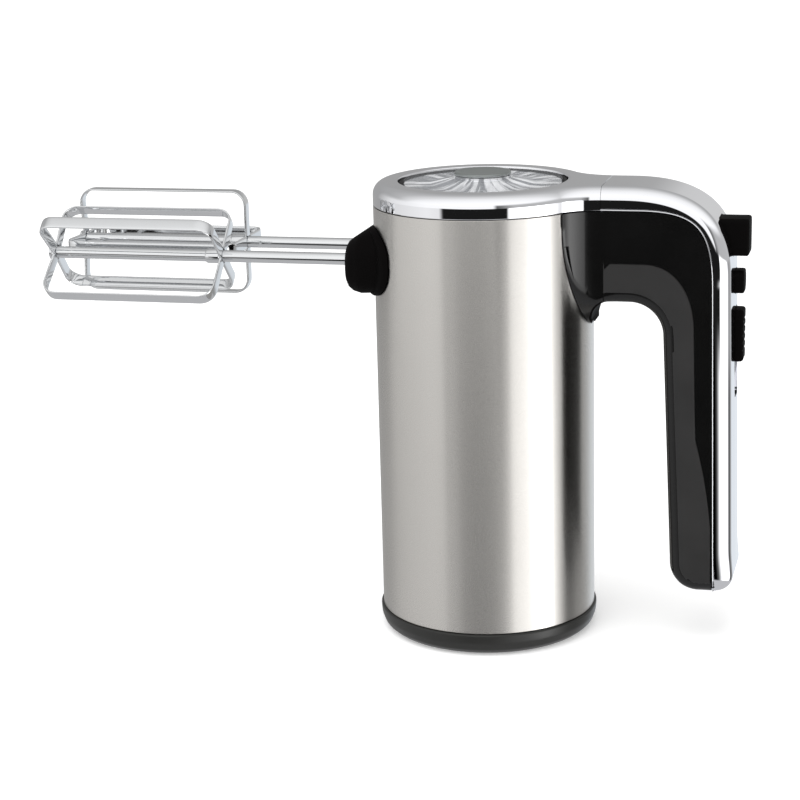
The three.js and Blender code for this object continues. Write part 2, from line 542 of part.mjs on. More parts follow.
function makeMotor() {
  const boreR = 16.3;
  const coilIn = 17.3;
  const coilOut = 21.3;
  const stack = cut(prism('z', roundRect(MOTOR_X, 0, 25, 22.5, 5), STATOR_LOW, STATOR_HIGH),
    rod('z', boreR, 40, 100, MOTOR_X, 0, 32));
  const slots = [];
  [['front', 180], ['rear', 0]].forEach(([name, towards]) => {
    const coil = ringPiece(coilIn, coilOut, towards, 58, STATOR_LOW - 6, STATOR_HIGH + 6);
    const pole = ringPiece(coilIn - 1, coilOut + 1, towards, 41, STATOR_LOW - GAP, STATOR_HIGH + GAP);
    add(`field_coil_${name}`, coil.subtract(pole), COPPER);
    slots.push(ringPiece(coilIn - GAP, coilOut + GAP, towards + 49.5, 9.7, 40, 100));
    slots.push(ringPiece(coilIn - GAP, coilOut + GAP, towards - 49.5, 9.7, 40, 100));
  });
  add('stator_core', cut(stack, ...slots), CORE);

  add('rotor_shaft', rod('z', SHAFT_R, 16.5, 175.2, MOTOR_X, 0, 20), STEEL);
  const shaftHole = rod('z', SHAFT_R + GAP, 0, 200, MOTOR_X, 0, 20);
  const teeth = 12;
  const tooth = [[-0.5, 0.66], [-0.36, 0.66], [-0.36, 1], [0.36, 1], [0.36, 0.66]];
  const rotorR = boreR - 0.7;
  const coreOutline = Array.from({ length: teeth }, (_, i) => tooth.map(([at, share]) => {
    const angle = (i + at) / teeth * 2 * Math.PI;
    return point(MOTOR_X + rotorR * share * Math.cos(angle), rotorR * share * Math.sin(angle));
  })).flat();
  add('armature_core', cut(prism('z', coreOutline, STATOR_LOW, STATOR_HIGH), shaftHole), CORE);
  const endTurn = (low, high) => turned([
    [5, low], [14, low], [14.4, (low + high) / 2], [14, high], [5, high],
  ], 16, MOTOR_X);
  const endTurns = [endTurn(STATOR_LOW - 6, STATOR_LOW - GAP), endTurn(STATOR_HIGH + GAP, STATOR_HIGH + 6)];
  const barLength = STATOR_HIGH - STATOR_LOW + 4;
  const bars = Array.from({ length: teeth }, (_, i) => solid(new THREE.BoxGeometry(2.6, 1.2, barLength)
    .translate(12.4, 0, (STATOR_LOW + STATOR_HIGH) / 2)
    .rotateZ((i + 0.5) / teeth * 2 * Math.PI)
    .translate(MOTOR_X, 0, 0)));
  add('armature_winding', cut(join(...endTurns, ...bars), shaftHole), COPPER);
  add('commutator', cut(rod('z', 10, 30, 44, MOTOR_X, 0, 24), shaftHole), COPPER);
  const blades = Array.from({ length: 9 }, (_, i) => solid(new THREE.BoxGeometry(14.5, 1.2, 9)
    .translate(14, 0, 117.5).rotateZ(i / 9 * 2 * Math.PI).translate(MOTOR_X, 0, 0)));
  const fanDisc = rod('z', 22, 112, 113.6, MOTOR_X, 0, 20);
  const fanHub = rod('z', 7, 112, 122, MOTOR_X, 0);
  add('cooling_fan', cut(join(fanDisc, fanHub, ...blades), shaftHole), BLACK);

  add('lower_bearing', tube('z', 6.6, SHAFT_R + GAP, 18.4, 24.6, MOTOR_X, 0), BRASS);
  const bridge = box(MOTOR_X - 7.5, MOTOR_X + 7.5, -30, 30, 15.2, 25);
  const legs = [-27, 27].map((y) => box(MOTOR_X - 5, MOTOR_X + 5, y - 3, y + 3, 24, 50));
  const feet = [-24.5, 24.5].map((y) => (
    box(MOTOR_X - 5, MOTOR_X + 5, y - 5.5, y + 5.5, 46, STATOR_LOW - GAP)));
  const bearingSeat = join(rod('z', 6.9, 18, 30, MOTOR_X, 0), rod('z', 3, 16.2, 30, MOTOR_X, 0));
  add('motor_bracket', cut(join(bridge, ...legs, ...feet), bearingSeat), NYLON);
  [['left', -1], ['right', 1]].forEach(([side, sign]) => {
    const span = (a, b) => [Math.min(sign * a, sign * b), Math.max(sign * a, sign * b)];
    add(`brush_holder_${side}`, cut(box(MOTOR_X - 4, MOTOR_X + 4, ...span(12.4, 23.6), 32, 41),
      box(MOTOR_X - 2.6, MOTOR_X + 2.6, ...span(10, 21), 34, 39)), BRASS);
    add(`carbon_brush_${side}`, box(MOTOR_X - 2.3, MOTOR_X + 2.3, ...span(10.3, 20.6), 34.3, 38.7), CARBON);
  });
}

// ---------------------------------------------------------------- beaters
// One wing is a flat strip bent to a C: out from the rod at the tip, along, and back to the rod.
function wing(turn, y) {
  const inner = ROD_R + GAP;
  const bend = 6.5;
  const cornerY = WING_R - bend;
  const path = [
    point(WING_START, inner),
    ...arc(BEATER_TIP + WING_SETBACK + bend, cornerY, bend, bend, 184, 90, 5),
    ...arc(WING_END - bend, cornerY, bend, bend, 90, 0, 5),
    point(WING_END, inner),
  ];
  const strip = prism('y', region(path, offsetPath(path, -WING_THICK)), -WING_WIDTH / 2, WING_WIDTH / 2);
  return strip.rotate([turn, 0, 0]).translate([0, y, BEATER_Z]);
}

function makeBeaters() {
  const collarEnd = WING_END - WING_THICK - GAP;
  [['left', -BEATER_Y, 45], ['right', BEATER_Y, 0]].forEach(([side, y, phase]) => {
    const shaft = rod('x', ROD_R, BEATER_TIP, SHANK_END, y, BEATER_Z, 12);
    const collar = rod('x', 3.9, collarEnd - 6, collarEnd, y, BEATER_Z, 16);
    const hub = rod('x', 3.4, BEATER_TIP, WING_START - GAP, y, BEATER_Z, 12);
    add(`beater_shaft_${side}`, join(shaft, collar, hub), CHROME);
    for (let i = 0; i < 4; i += 1) add(`beater_wing_${side}_${i + 1}`, wing(phase + 90 * i, y), CHROME);
  });
}

makeBody();
makeTop();
makeTrim();
makeGrip();
makeControls();
makeNose();
makeDrive();
makeMotor();
makeBeaters();

export default group;
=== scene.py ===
"""Looks of the stand-up hand mixer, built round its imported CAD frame.

Sizes below are millimetres in the frame's axes: +Z up, origin under the middle of the heel,
beaters towards -X, handle on +X. A piece called NODE_look stands for the CAD node NODE.
"""

import json
import math

import bmesh
import bpy
import numpy as np
from mathutils import Matrix, Vector


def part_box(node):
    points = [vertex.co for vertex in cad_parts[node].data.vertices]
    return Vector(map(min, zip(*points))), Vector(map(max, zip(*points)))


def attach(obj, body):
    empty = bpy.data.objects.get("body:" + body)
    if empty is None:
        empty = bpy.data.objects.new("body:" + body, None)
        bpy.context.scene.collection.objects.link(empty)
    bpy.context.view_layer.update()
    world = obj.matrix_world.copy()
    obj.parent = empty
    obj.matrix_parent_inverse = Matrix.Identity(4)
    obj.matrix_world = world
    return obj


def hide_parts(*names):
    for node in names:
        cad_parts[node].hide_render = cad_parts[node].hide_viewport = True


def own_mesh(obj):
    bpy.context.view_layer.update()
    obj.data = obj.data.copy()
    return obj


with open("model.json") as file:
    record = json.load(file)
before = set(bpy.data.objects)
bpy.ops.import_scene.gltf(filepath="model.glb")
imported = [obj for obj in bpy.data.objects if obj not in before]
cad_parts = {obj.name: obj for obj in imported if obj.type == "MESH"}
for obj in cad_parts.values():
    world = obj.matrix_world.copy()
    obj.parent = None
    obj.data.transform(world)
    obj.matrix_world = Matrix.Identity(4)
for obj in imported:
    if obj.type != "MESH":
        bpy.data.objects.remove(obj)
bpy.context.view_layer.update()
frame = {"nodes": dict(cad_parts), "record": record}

MM = 0.001
record = frame["record"]
SLOT_OF = {part["node"]: part["material_slot"] for part in record["subparts"]}
TRAVEL = {
    joint["name"]: joint["range_m"][1] / MM
    for joint in record["behaviour"]["joints"] if "range_m" in joint}
BODY_OF = {node: body for body, nodes in record["behaviour"]["bodies"].items() for node in nodes}


def box_mm(node):
    """Lowest and highest corner of a CAD node, in millimetres."""
    low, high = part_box(node)
    return low / MM, high / MM


# -------- sizes, from the frame
GAP = 0.3
SLEEVE_LOW, SLEEVE_HIGH = box_mm("body_sleeve")
_, HEEL_HIGH = box_mm("base_cap")
RING_LOW, RING_HIGH = box_mm("top_ring")
TRIM_LOW, TRIM_HIGH = box_mm("handle_trim")
SHAFT_LOW, SHAFT_HIGH = box_mm("beater_shaft_right")
WING_LOW, WING_HIGH = box_mm("beater_wing_right_1")
EJECT_LOW, EJECT_HIGH = box_mm("eject_button")
TURBO_LOW, TURBO_HIGH = box_mm("turbo_button")
SLIDER_LOW, SLIDER_HIGH = box_mm("speed_slider")
NOSE_LOW, NOSE_HIGH = box_mm("nose_housing")
LENS_LOW, LENS_HIGH = box_mm("cap_lens")
BADGE_LOW, BADGE_HIGH = box_mm("cap_badge")
SEAL_LOW, SEAL_HIGH = box_mm("cap_seal")

BODY_R = SLEEVE_HIGH.y
BASE_TOP = SLEEVE_LOW.z - GAP
BODY_TOP = RING_LOW.z
TOP = RING_HIGH.z
SEAM_X = (RING_HIGH.x + TRIM_LOW.x) / 2
HANDLE_END = TRIM_LOW.z
HANDLE_FACE = TRIM_HIGH.x
BEATER_Y = (SHAFT_LOW.y + SHAFT_HIGH.y) / 2
BEATER_Z = (SHAFT_LOW.z + SHAFT_HIGH.z) / 2
WING_R = WING_HIGH.z - BEATER_Z
NOSE_FACE = NOSE_LOW.x

# shape details that the frame's boxes don't give
HANDLE_HALF = TRIM_HIGH.y       # half the handle's width
ROOT_FILLET = 19.2              # plan fillet between the round body and the handle
FILLET_TURN = math.asin((HANDLE_HALF + ROOT_FILLET) / (BODY_R + ROOT_FILLET))
FILLET_X = (BODY_R + ROOT_FILLET) * math.cos(FILLET_TURN)
SHOULDER_DOWN = 5.2             # rounded shoulder of the chrome, down and in
SHOULDER_IN = 5.0
SEAM_GAP = 0.1                  # fine joint between the ring and the handle's chrome
CROWN = 1.4                     # how much the handle's outer face bulges over its width
RECESS_R = SEAL_HIGH.x + GAP    # recess for the cap
LENS_R = LENS_HIGH.x
BADGE_R = BADGE_HIGH.x
DISH_R = 21.4                   # where the lens starts to rise towards the badge
ROD_R = 2.5                     # beater rod
SLOT_FLOOR = 102.0              # bottom of the slot the speed slider runs in
COLLAR = (WING_HIGH.x - 7.3, WING_HIGH.x - 1.3)
NOSE_WINDOW = (24, 146, 168)    # openings of the sleeve: half width, lower and upper end
HANDLE_WINDOW = (11, 150, 176)
SADDLE_MIDDLE = 175.0           # the saddle's lower edge is an ellipse seen from the handle side
SADDLE_HALF = 26.0
SADDLE_DROP = 43.5
FLOOR_REACH = 12000             # how far the studio floor runs to each side
CAMERA_TURN = 12.2              # degrees that the camera stands round from -Y towards the handle


# -------- outlines
def arc(x, y, rx, ry, start, end, steps):
    """Points on an ellipse between two angles in degrees."""
    turn = np.radians(np.linspace(start, end, steps + 1))
    return np.stack([x + rx * np.cos(turn), y + ry * np.sin(turn)], 1)


def bezier(a, b, c, d, steps):
    """Points on a cubic Bezier curve."""
    t = np.linspace(0, 1, steps + 1)[:, None]
    a, b, c, d = (np.array(p, float) for p in (a, b, c, d))
    return a * (1 - t) ** 3 + 3 * b * t * (1 - t) ** 2 + 3 * c * t * t * (1 - t) + d * t ** 3


def path_of(*parts):
    """Joins points and stretches into one path."""
    return np.concatenate([np.atleast_2d(np.array(part, float)) for part in parts])


def lengths(path):
    return np.concatenate([[0], np.cumsum(np.linalg.norm(np.diff(path, axis=0), axis=1))])


def along(path, shares):
    """Points at the given shares of a path's length."""
    run = lengths(path)
    return np.stack([np.interp(np.array(shares) * run[-1], run, path[:, k]) for k in (0, 1)], 1)


def distance_to(path, points):
    """Distance from each point to a path."""
    start, step = path[:-1], np.diff(path, axis=0)
    keep = (step ** 2).sum(1) > 0
    start, step = start[keep], step[keep]
    to = points[:, None, :] - start[None]
    share = np.clip((to * step).sum(2) / (step ** 2).sum(1), 0, 1)
    return np.linalg.norm(to - share[..., None] * step, axis=2).min(1)


def round_rect(x, y, half_x, half_y, r, steps=6):
    """Closed rounded rectangle, starting on its right side."""
    return path_of(
        arc(x + half_x - r, y + half_y - r, r, r, 0, 90, steps),
        arc(x - half_x + r, y + half_y - r, r, r, 90, 180, steps),
        arc(x - half_x + r, y - half_y + r, r, r, 180, 270, steps),
        arc(x + half_x - r, y - half_y + r, r, r, 270, 360, steps))


def filleted(corners, radius):
    """Closed outline with every corner rounded by about the radius."""
    corners = [np.array(c, float) for c in corners]
    out = []
    for i, here in enumerate(corners):
        back, on = corners[i - 1] - here, corners[(i + 1) % len(corners)] - here
        reach = min(radius, 0.45 * np.linalg.norm(back), 0.45 * np.linalg.norm(on))
        a = here + back / np.linalg.norm(back) * reach
        b = here + on / np.linalg.norm(on) * reach
        out += [a * (1 - t) ** 2 + 2 * here * t * (1 - t) + b * t * t for t in np.linspace(0, 1, 5)]
    return np.array(out)


# side views, x and z, each from the body to the handle's lower end
OUTER_PATH = path_of(
    (30, TOP), bezier((60, TOP), (88, TOP), (HANDLE_FACE - 2.1, 179), (HANDLE_FACE - 2, 152), 60),
    arc(HANDLE_FACE - 7, HANDLE_END + 7, 7, 7, 0, -90, 16))
TRIM_PATH = path_of(
    (30, BODY_TOP), bezier((66, BODY_TOP), (89, BODY_TOP), (95.1, 174.4), (95.2, 148.5), 60),
    (96.8, HANDLE_END))
FIRST_ARC = 48                  # steps of the opening's first bend
GRIP_PATH = path_of(
    arc(53.8, 133.5, 7.6, 10.2, 180, 90, FIRST_ARC), arc(62.3, 130.2, 13.5, 13.5, 90, 0, 28),
    arc(91.4, 36, 12.2, 12.2, 180, 270, 24), (96.4, HANDLE_END))
PAD_PATH = path_of(
    (52.1, 139.5), (52.1, 157), (54.6, 159.5),
    bezier((68.3, 159.5), (80.3, 159.5), (88.3, 148.5), (88.3, 132.5), 40), (88.9, 104),
    bezier((89.4, 88), (91.6, 80), (94.6, 66), (95.8, 52), 16), (96.1, 30), (96.1, 25.5), (99, 25.5))


# -------- meshes
def add_object(name, data):
    thing = bpy.data.objects.new(name, data)
    bpy.context.scene.collection.objects.link(thing)
    return thing


def piece_from(name, points, faces, sharp=30, fill=False):
    """New object from points in millimetres, with its normals out and its edges sharp past an angle.
    fill closes its open edges."""
    mesh = bpy.data.meshes.new(name)
    mesh.from_pydata([[c * MM for c in p] for p in points], [], [list(f) for f in faces])
    shape = bmesh.new()
    shape.from_mesh(mesh)
    bmesh.ops.remove_doubles(shape, verts=shape.verts, dist=2e-6)
    bmesh.ops.dissolve_degenerate(shape, edges=shape.edges, dist=1e-6)
    if fill:
        bmesh.ops.holes_fill(shape, edges=[e for e in shape.edges if e.is_boundary])
    bmesh.ops.recalc_face_normals(shape, faces=shape.faces)
    shape.to_mesh(mesh)
    shape.free()
    piece = add_object(name, mesh)
    shade(piece, sharp)
    return piece


def shade(piece, sharp=30):
    piece.data.polygons.foreach_set("use_smooth", [True] * len(piece.data.polygons))
    piece.data.set_sharp_from_angle(angle=math.radians(sharp))


def grid_faces(rows, columns, wrap_rows=False, wrap_columns=False, first=0):
    """Quads of a grid of points numbered row by row."""
    faces = []
    for i in range(rows if wrap_rows else rows - 1):
        for j in range(columns if wrap_columns else columns - 1):
            a, b = i * columns, (i + 1) % rows * columns
            k = (j + 1) % columns
            faces.append((first + a + j, first + a + k, first + b + k, first + b + j))
    return faces


def lofted(name, rings, sharp=30, close=False):
    """Solid through closed rings with the same number of points; close joins the last to the first."""
    count = len(rings[0])
    points = np.concatenate([np.array(r, float) for r in rings])
    faces = grid_faces(len(rings), count, wrap_rows=close, wrap_columns=True)
    if not close:
        faces += [tuple(range(count)), tuple(range((len(rings) - 1) * count, len(rings) * count))]
    return piece_from(name, points, faces, sharp)


def sheet(name, rows, sharp, fill=False):
    """Open sheet through rows with the same number of points."""
    points = np.concatenate([np.array(r) for r in rows])
    return piece_from(name, points, grid_faces(len(rows), len(rows[0])), sharp, fill)


def turned(name, profile, segments=160, sharp=30, height=None):
    """Turned about +Z from a closed profile of radius and height, which height(r, z, turn) may reshape."""
    rings = []
    for turn in np.linspace(0, 2 * math.pi, segments, endpoint=False):
        cos, sin = math.cos(turn), math.sin(turn)
        rings.append([(r * cos, r * sin, height(r, z, turn) if height else z) for r, z in profile])
    return lofted(name, rings, sharp, close=True)


def turned_along_x(name, profile, y, z):
    """Turned about an axis along X from an open profile of place and radius that ends on the axis."""
    turns = np.linspace(0, 2 * math.pi, 40, endpoint=False)
    return lofted(name, [[(x, y + r * math.cos(t), z + r * math.sin(t)) for t in turns] for x, r in profile])


def settle(piece, sharp=30):
    """Applies the piece's modifiers to its mesh."""
    ready = piece.evaluated_get(bpy.context.evaluated_depsgraph_get())
    mesh = bpy.data.meshes.new_from_object(ready)
    piece.modifiers.clear()
    old, piece.data = piece.data, mesh
    bpy.data.meshes.remove(old)
    shade(piece, sharp)


def cut(piece, *tools, sharp=30):
    """Takes the tools out of the piece and deletes them."""
    for tool in tools:
        modifier = piece.modifiers.new("cut", "BOOLEAN")
        modifier.operation = "DIFFERENCE"
        modifier.solver = "EXACT"
        modifier.object = tool
    settle(piece, sharp)
    for tool in tools:
        bpy.data.objects.remove(tool)
    return piece


def thicken(piece, thickness, sharp=30):
    """Gives a sheet a wall on its inner side."""
    modifier = piece.modifiers.new("wall", "SOLIDIFY")
    modifier.thickness = thickness * MM
    modifier.offset = -1
    settle(piece, sharp)
    return piece


def block_tool(outline, low, high, axis):
    """Prism for cutting: an outline of (y, z) run along x, or of (x, y) run along z."""
    order = (lambda p, at: (at, p[0], p[1])) if axis == "x" else (lambda p, at: (p[0], p[1], at))
    return lofted("tool", [[order(p, at) for p in outline] for at in (low, high)])


LOOKS = {}                      # materials by name; a slot's material has the slot's name


def dress(piece, *nodes):
    """The piece stands for the CAD nodes, rides on their body and takes their finish."""
    piece.data.materials.clear()
    piece.data.materials.append(LOOKS[SLOT_OF[nodes[0]]])
    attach(piece, BODY_OF[nodes[0]])
    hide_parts(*nodes)
    return piece


# -------- materials
class Web:
    """A node tree whose nodes are added in one call each."""

    def __init__(self, tree):
        self.tree = tree

    def fill(self, node, inputs):
        """Sets inputs of a node, each to a constant or to another node's output."""
        for key, value in inputs.items():
            if isinstance(value, bpy.types.NodeSocket):
                self.tree.links.new(value, node.inputs[key])
            else:
                node.inputs[key].default_value = value

    def add(self, kind, inputs=None, **settings):
        """Adds a node and returns its outputs."""
        node = self.tree.nodes.new(kind)
        for key, value in settings.items():
            setattr(node, key, value)
        self.fill(node, inputs or {})
        return node.outputs

    def ramp(self, value, stops):
        """Colour over a value from 0 to 1, from stops of a place and a grey level or a colour."""
        node = self.tree.nodes.new("ShaderNodeValToRGB")
        elements = node.color_ramp.elements
        while len(elements) < len(stops):
            elements.new(0.5)
        for element, (place, tone) in zip(elements, stops):
            element.position = place
            element.color = (*tone, 1) if isinstance(tone, tuple) else (tone, tone, tone, 1)
        self.fill(node, {"Fac": value})
        return node.outputs["Color"]

    def tinted(self, value, dark, light):
        """Colour between two shades, by a noise value."""
        return self.ramp(value, [(0.3, dark), (0.7, light)])

    def noise(self, scale, stretch=(1, 1, 1)):
        """Noise in the object's own metres, at a scale per metre; stretch squeezes it along an axis."""
        where = self.add("ShaderNodeTexCoord")["Object"]
        squeezed = self.add("ShaderNodeMapping", {"Vector": where, "Scale": stretch})["Vector"]
        return self.add("ShaderNodeTexNoise", {
            "Vector": squeezed, "Scale": scale, "Detail": 4.0, "Roughness": 0.55})["Fac"]

    def spread(self, value, low, high, at=(0.3, 0.7)):
        """Maps a noise value to a range."""
        return self.add("ShaderNodeMapRange", {
            "Value": value, "From Min": at[0], "From Max": at[1], "To Min": low, "To Max": high})["Result"]

    def relief(self, value, strength, depth_mm):
        """Surface normal with the value as its height."""
        return self.add("ShaderNodeBump", {
            "Height": value, "Strength": strength, "Distance": depth_mm * MM})["Normal"]


def new_material(name):
    """Adds a material to LOOKS and returns its tree and its shader."""
    LOOKS[name] = material = bpy.data.materials.new(name)
    material.use_nodes = True
    return Web(material.node_tree), material.node_tree.nodes["Principled BSDF"]


def shades(colour, change):
    return [tuple(min(c * (1 + way * change), 1) for c in colour) for way in (-1, 1)]


def metal(name, colour, rough, grain_mm, stretch=(1, 1, 1), change=0.03, lines=0.0, anisotropy=0.0):
    """Metal with faint tone changes and fine marks; lines gives the marks some depth."""
    web, shader = new_material(name)
    marks = web.noise(1 / (grain_mm * MM), stretch)
    web.fill(shader, {
        "Metallic": 1.0, "Base Color": web.tinted(web.noise(35), *shades(colour, change)),
        "Roughness": web.spread(marks, rough * 0.85, rough * 1.15)})
    if lines:
        web.fill(shader, {"Normal": web.relief(marks, lines, depth_mm=0.02)})
    if anisotropy:               # a quarter turn blurs reflections up and down
        around = web.add("ShaderNodeTangent", direction_type="RADIAL", axis="Z")["Tangent"]
        web.fill(shader, {"Anisotropic": anisotropy, "Anisotropic Rotation": 0.25, "Tangent": around})


def plastic(name, colour, rough, grain_mm=0.5, change=0.08, depth=0.0, specular=0.5, coat=0.0):
    """Moulded plastic or rubber; depth gives the surface a fine texture."""
    web, shader = new_material(name)
    clouds = web.noise(60)
    web.fill(shader, {
        "Base Color": web.tinted(clouds, *shades(colour, change)),
        "Roughness": web.spread(clouds, rough * 0.9, rough * 1.1), "Specular IOR Level": specular})
    if coat:
        web.fill(shader, {"Coat Weight": coat, "Coat Roughness": 0.04})
    if depth:
        web.fill(shader, {"Normal": web.relief(web.noise(1 / (grain_mm * MM)), 0.6, depth_mm=depth)})


def clear_plastic(name):
    """Clear acrylic of the cap, with a slight unevenness."""
    web, shader = new_material(name)
    ripple = web.noise(120)
    web.fill(shader, {
        "Base Color": web.tinted(ripple, (0.72, 0.74, 0.78), (0.8, 0.82, 0.86)),
        "Roughness": web.spread(ripple, 0.02, 0.06), "Alpha": 0.07, "Specular IOR Level": 0.9})


def silver_with_painted_glints(name):
    """Silvered reflector under the cap, with light and dark streaks that run out from its middle: painted
    glints and painted dark reflections in its colour, on top of the real reflections of its facets.
    """
    web, shader = new_material(name)
    where = web.add("ShaderNodeTexCoord")["Object"]
    parts = web.add("ShaderNodeSeparateXYZ", {"Vector": where})
    angle = web.add("ShaderNodeMath", {0: parts["Y"], 1: parts["X"]}, operation="ARCTAN2")["Value"]
    away = web.add("ShaderNodeVectorMath", {0: where}, operation="LENGTH")["Value"]
    polar = web.add("ShaderNodeCombineXYZ", {"X": angle, "Y": away})["Vector"]
    stretched = web.add("ShaderNodeMapping", {"Vector": polar, "Scale": (5.5, 90, 1)})["Vector"]
    painted_glint_streaks = web.add("ShaderNodeTexNoise", {"Vector": stretched, "Scale": 1.0, "Detail": 3.0})["Fac"]
    value = web.spread(painted_glint_streaks, 0.0, 1.0, (0.4, 0.62))
    # the base colour's light and dark streaks are painted glints and painted dark reflections; only the
    # roughness change is the surface's own
    web.fill(shader, {
        "Base Color": web.tinted(value, (0.3, 0.31, 0.325), (0.97, 0.975, 0.99)),
        "Roughness": web.spread(painted_glint_streaks, 0.12, 0.25), "Metallic": 0.55})


def make_looks():
    """One material for each slot of the record."""
    metal("sleeve_steel", (0.67, 0.65, 0.62), 0.27, 0.5, (1, 1, 14), 0.015, 0.04, 0.94)
    metal("chrome_trim", (0.87, 0.875, 0.9), 0.03, 2.0, change=0.01)
    metal("beater_chrome", (0.74, 0.75, 0.76), 0.07, 1.5, (0.3, 1, 1), 0.015)
    plastic("gloss_black", (0.0025, 0.0025, 0.0025), 0.15, specular=0.4, coat=0.15)
    plastic("soft_black", (0.0165, 0.016, 0.016), 0.45, 0.35, depth=0.03, specular=0.4)
    plastic("heel_black", (0.016, 0.016, 0.015), 0.32, 0.5, depth=0.01, specular=0.35)
    plastic("control_black", (0.0022, 0.0018, 0.0018), 0.6, 0.4, depth=0.012, specular=0.03)
    plastic("rubber_black", (0.014, 0.014, 0.014), 0.75, 0.3, depth=0.04, specular=0.3)
    silver_with_painted_glints("cap_silver")
    clear_plastic("cap_clear")
    metal("cap_grey", (0.36, 0.385, 0.375), 0.42, 0.4)
    plastic("nylon", (0.76, 0.72, 0.61), 0.5, 0.6, 0.04, 0.02)
    metal("gearbox_grey", (0.3, 0.305, 0.31), 0.5, 0.7, change=0.06, lines=0.3)
    metal("machined_steel", (0.56, 0.56, 0.55), 0.26, 0.3, lines=0.1)
    metal("motor_iron", (0.16, 0.165, 0.17), 0.45, 0.4, (1, 1, 20), 0.08, 0.4)
    metal("copper", (0.72, 0.33, 0.17), 0.34, 0.5, (6, 6, 1), 0.12, 0.5)
    metal("brass", (0.78, 0.58, 0.25), 0.27, 0.4, change=0.05, lines=0.1)
    plastic("dark_parts", (0.03, 0.03, 0.032), 0.6, 0.3, 0.15, 0.03)
    plastic("board_green", (0.02, 0.16, 0.06), 0.4, 1.2, 0.25, 0.02)


def dress_cad_nodes():
    """Gives every CAD node its slot's material, and smooth shading on its round faces."""
    for node, shape in frame["nodes"].items():
        shape.data.materials.clear()
        shape.data.materials.append(LOOKS[SLOT_OF[node]])
        shade(shape, 34)


# -------- heel and sleeve
def make_sleeve():
    """Brushed steel tube, open where the nose and the handle's root go in."""
    segments, rows = 240, 60
    turns = np.linspace(0, 2 * math.pi, segments, endpoint=False)
    edges = np.array([0.0, 0.15, 0.3, 0.5])
    heights = np.concatenate([
        SLEEVE_LOW.z + edges, np.linspace(SLEEVE_LOW.z + 3, SLEEVE_HIGH.z - 3, rows),
        SLEEVE_HIGH.z - edges[::-1]])
    points, faces = [], []
    for i, z in enumerate(heights):
        r = BODY_R - (0.1 if i in (0, len(heights) - 1) else 0)
        points += [(r * math.cos(t), r * math.sin(t), z) for t in turns]
    for face in grid_faces(len(heights), segments, wrap_columns=True):
        x, y, z = np.mean([points[k] for k in face], axis=0)
        half, low, high = NOSE_WINDOW if x < 0 else HANDLE_WINDOW
        if abs(y) >= half or not low < z < high:
            faces.append(face)
    sleeve = piece_from("body_sleeve_look", points, faces)
    dress(thicken(sleeve, 0.8), "body_sleeve")


def make_heel():
    """Black heel with vent slots, screw wells and a groove for the foot ring underneath."""
    floor, inside, wall_in, wall_out = 0.6, 4, 41.4, 43.6
    profile = filleted([
        (0.01, floor), (42.4, floor), (44.6, 2.6), (45.7, 5.6), (HEEL_HIGH.x, BASE_TOP),
        (wall_out, BASE_TOP + 0.1), (wall_out, HEEL_HIGH.z), (wall_in, HEEL_HIGH.z), (wall_in, inside),
        (0.01, inside)], 0.7)
    heel = turned("base_cap_look", profile, 192)
    tools = [turned("tool", [(34.7, 0), (40.8, 0), (40.8, 2.8), (34.7, 2.8)], 96)]
    vent = round_rect(25, 0, 6, 1.5, 1.4)
    for turn in np.radians(22.5 + 45 * np.arange(8)):
        cos, sin = math.cos(turn), math.sin(turn)
        tools.append(block_tool([(x * cos - y * sin, x * sin + y * cos) for x, y in vent], -1, 6, "z"))
    for screw in ("base_screw_1", "base_screw_2"):
        low, high = box_mm(screw)
        tools.append(block_tool(arc((low.x + high.x) / 2, 0, 3.6, 3.6, 0, 350, 35), -1, 8, "z"))
    tools.append(block_tool(arc(0, 0, 9.3, 9.3, 0, 354, 59), -1, 2.8, "z"))
    dress(cut(heel, *tools), "base_cap")
    for node, inner in (("foot_ring", 35.0), ("foot_pad", 0.01)):
        low, high = box_mm(node)
        profile = filleted([(inner, low.z), (high.x, low.z), (high.x, high.z), (inner, high.z)], 0.5)
        dress(turned(node + "_look", profile, 120), node)


# -------- chrome ring and cap
def shoulder_in(depth, down=SHOULDER_DOWN):
    """How far the rounded shoulder has come in, at a depth below the top."""
    share = 1 - np.clip(np.array(depth, float) / down, 0, 1)
    return SHOULDER_IN * (1 - np.sqrt(1 - share ** 2))


def plan_loop(offset, end):
    """The round body's plan running into the handle, moved inwards by offset, cut at x = end."""
    turn = math.degrees(FILLET_TURN)
    centre_y = HANDLE_HALF + ROOT_FILLET
    r = ROOT_FILLET + offset
    stop = math.degrees(math.acos((end - FILLET_X) / r))
    near = arc(FILLET_X, -centre_y, r, r, 180 - turn, stop, 40)
    body = arc(0, 0, BODY_R - offset, BODY_R - offset, turn, 360 - turn, 200)
    far = arc(FILLET_X, centre_y, r, r, -stop, -180 + turn, 40)
    chord_y = np.linspace(near[-1][1], far[0][1], 26)[1:-1]
    chord = np.stack([np.full(len(chord_y), float(end)), chord_y], 1)
    return path_of(body, near[1:], chord, far[:-1])


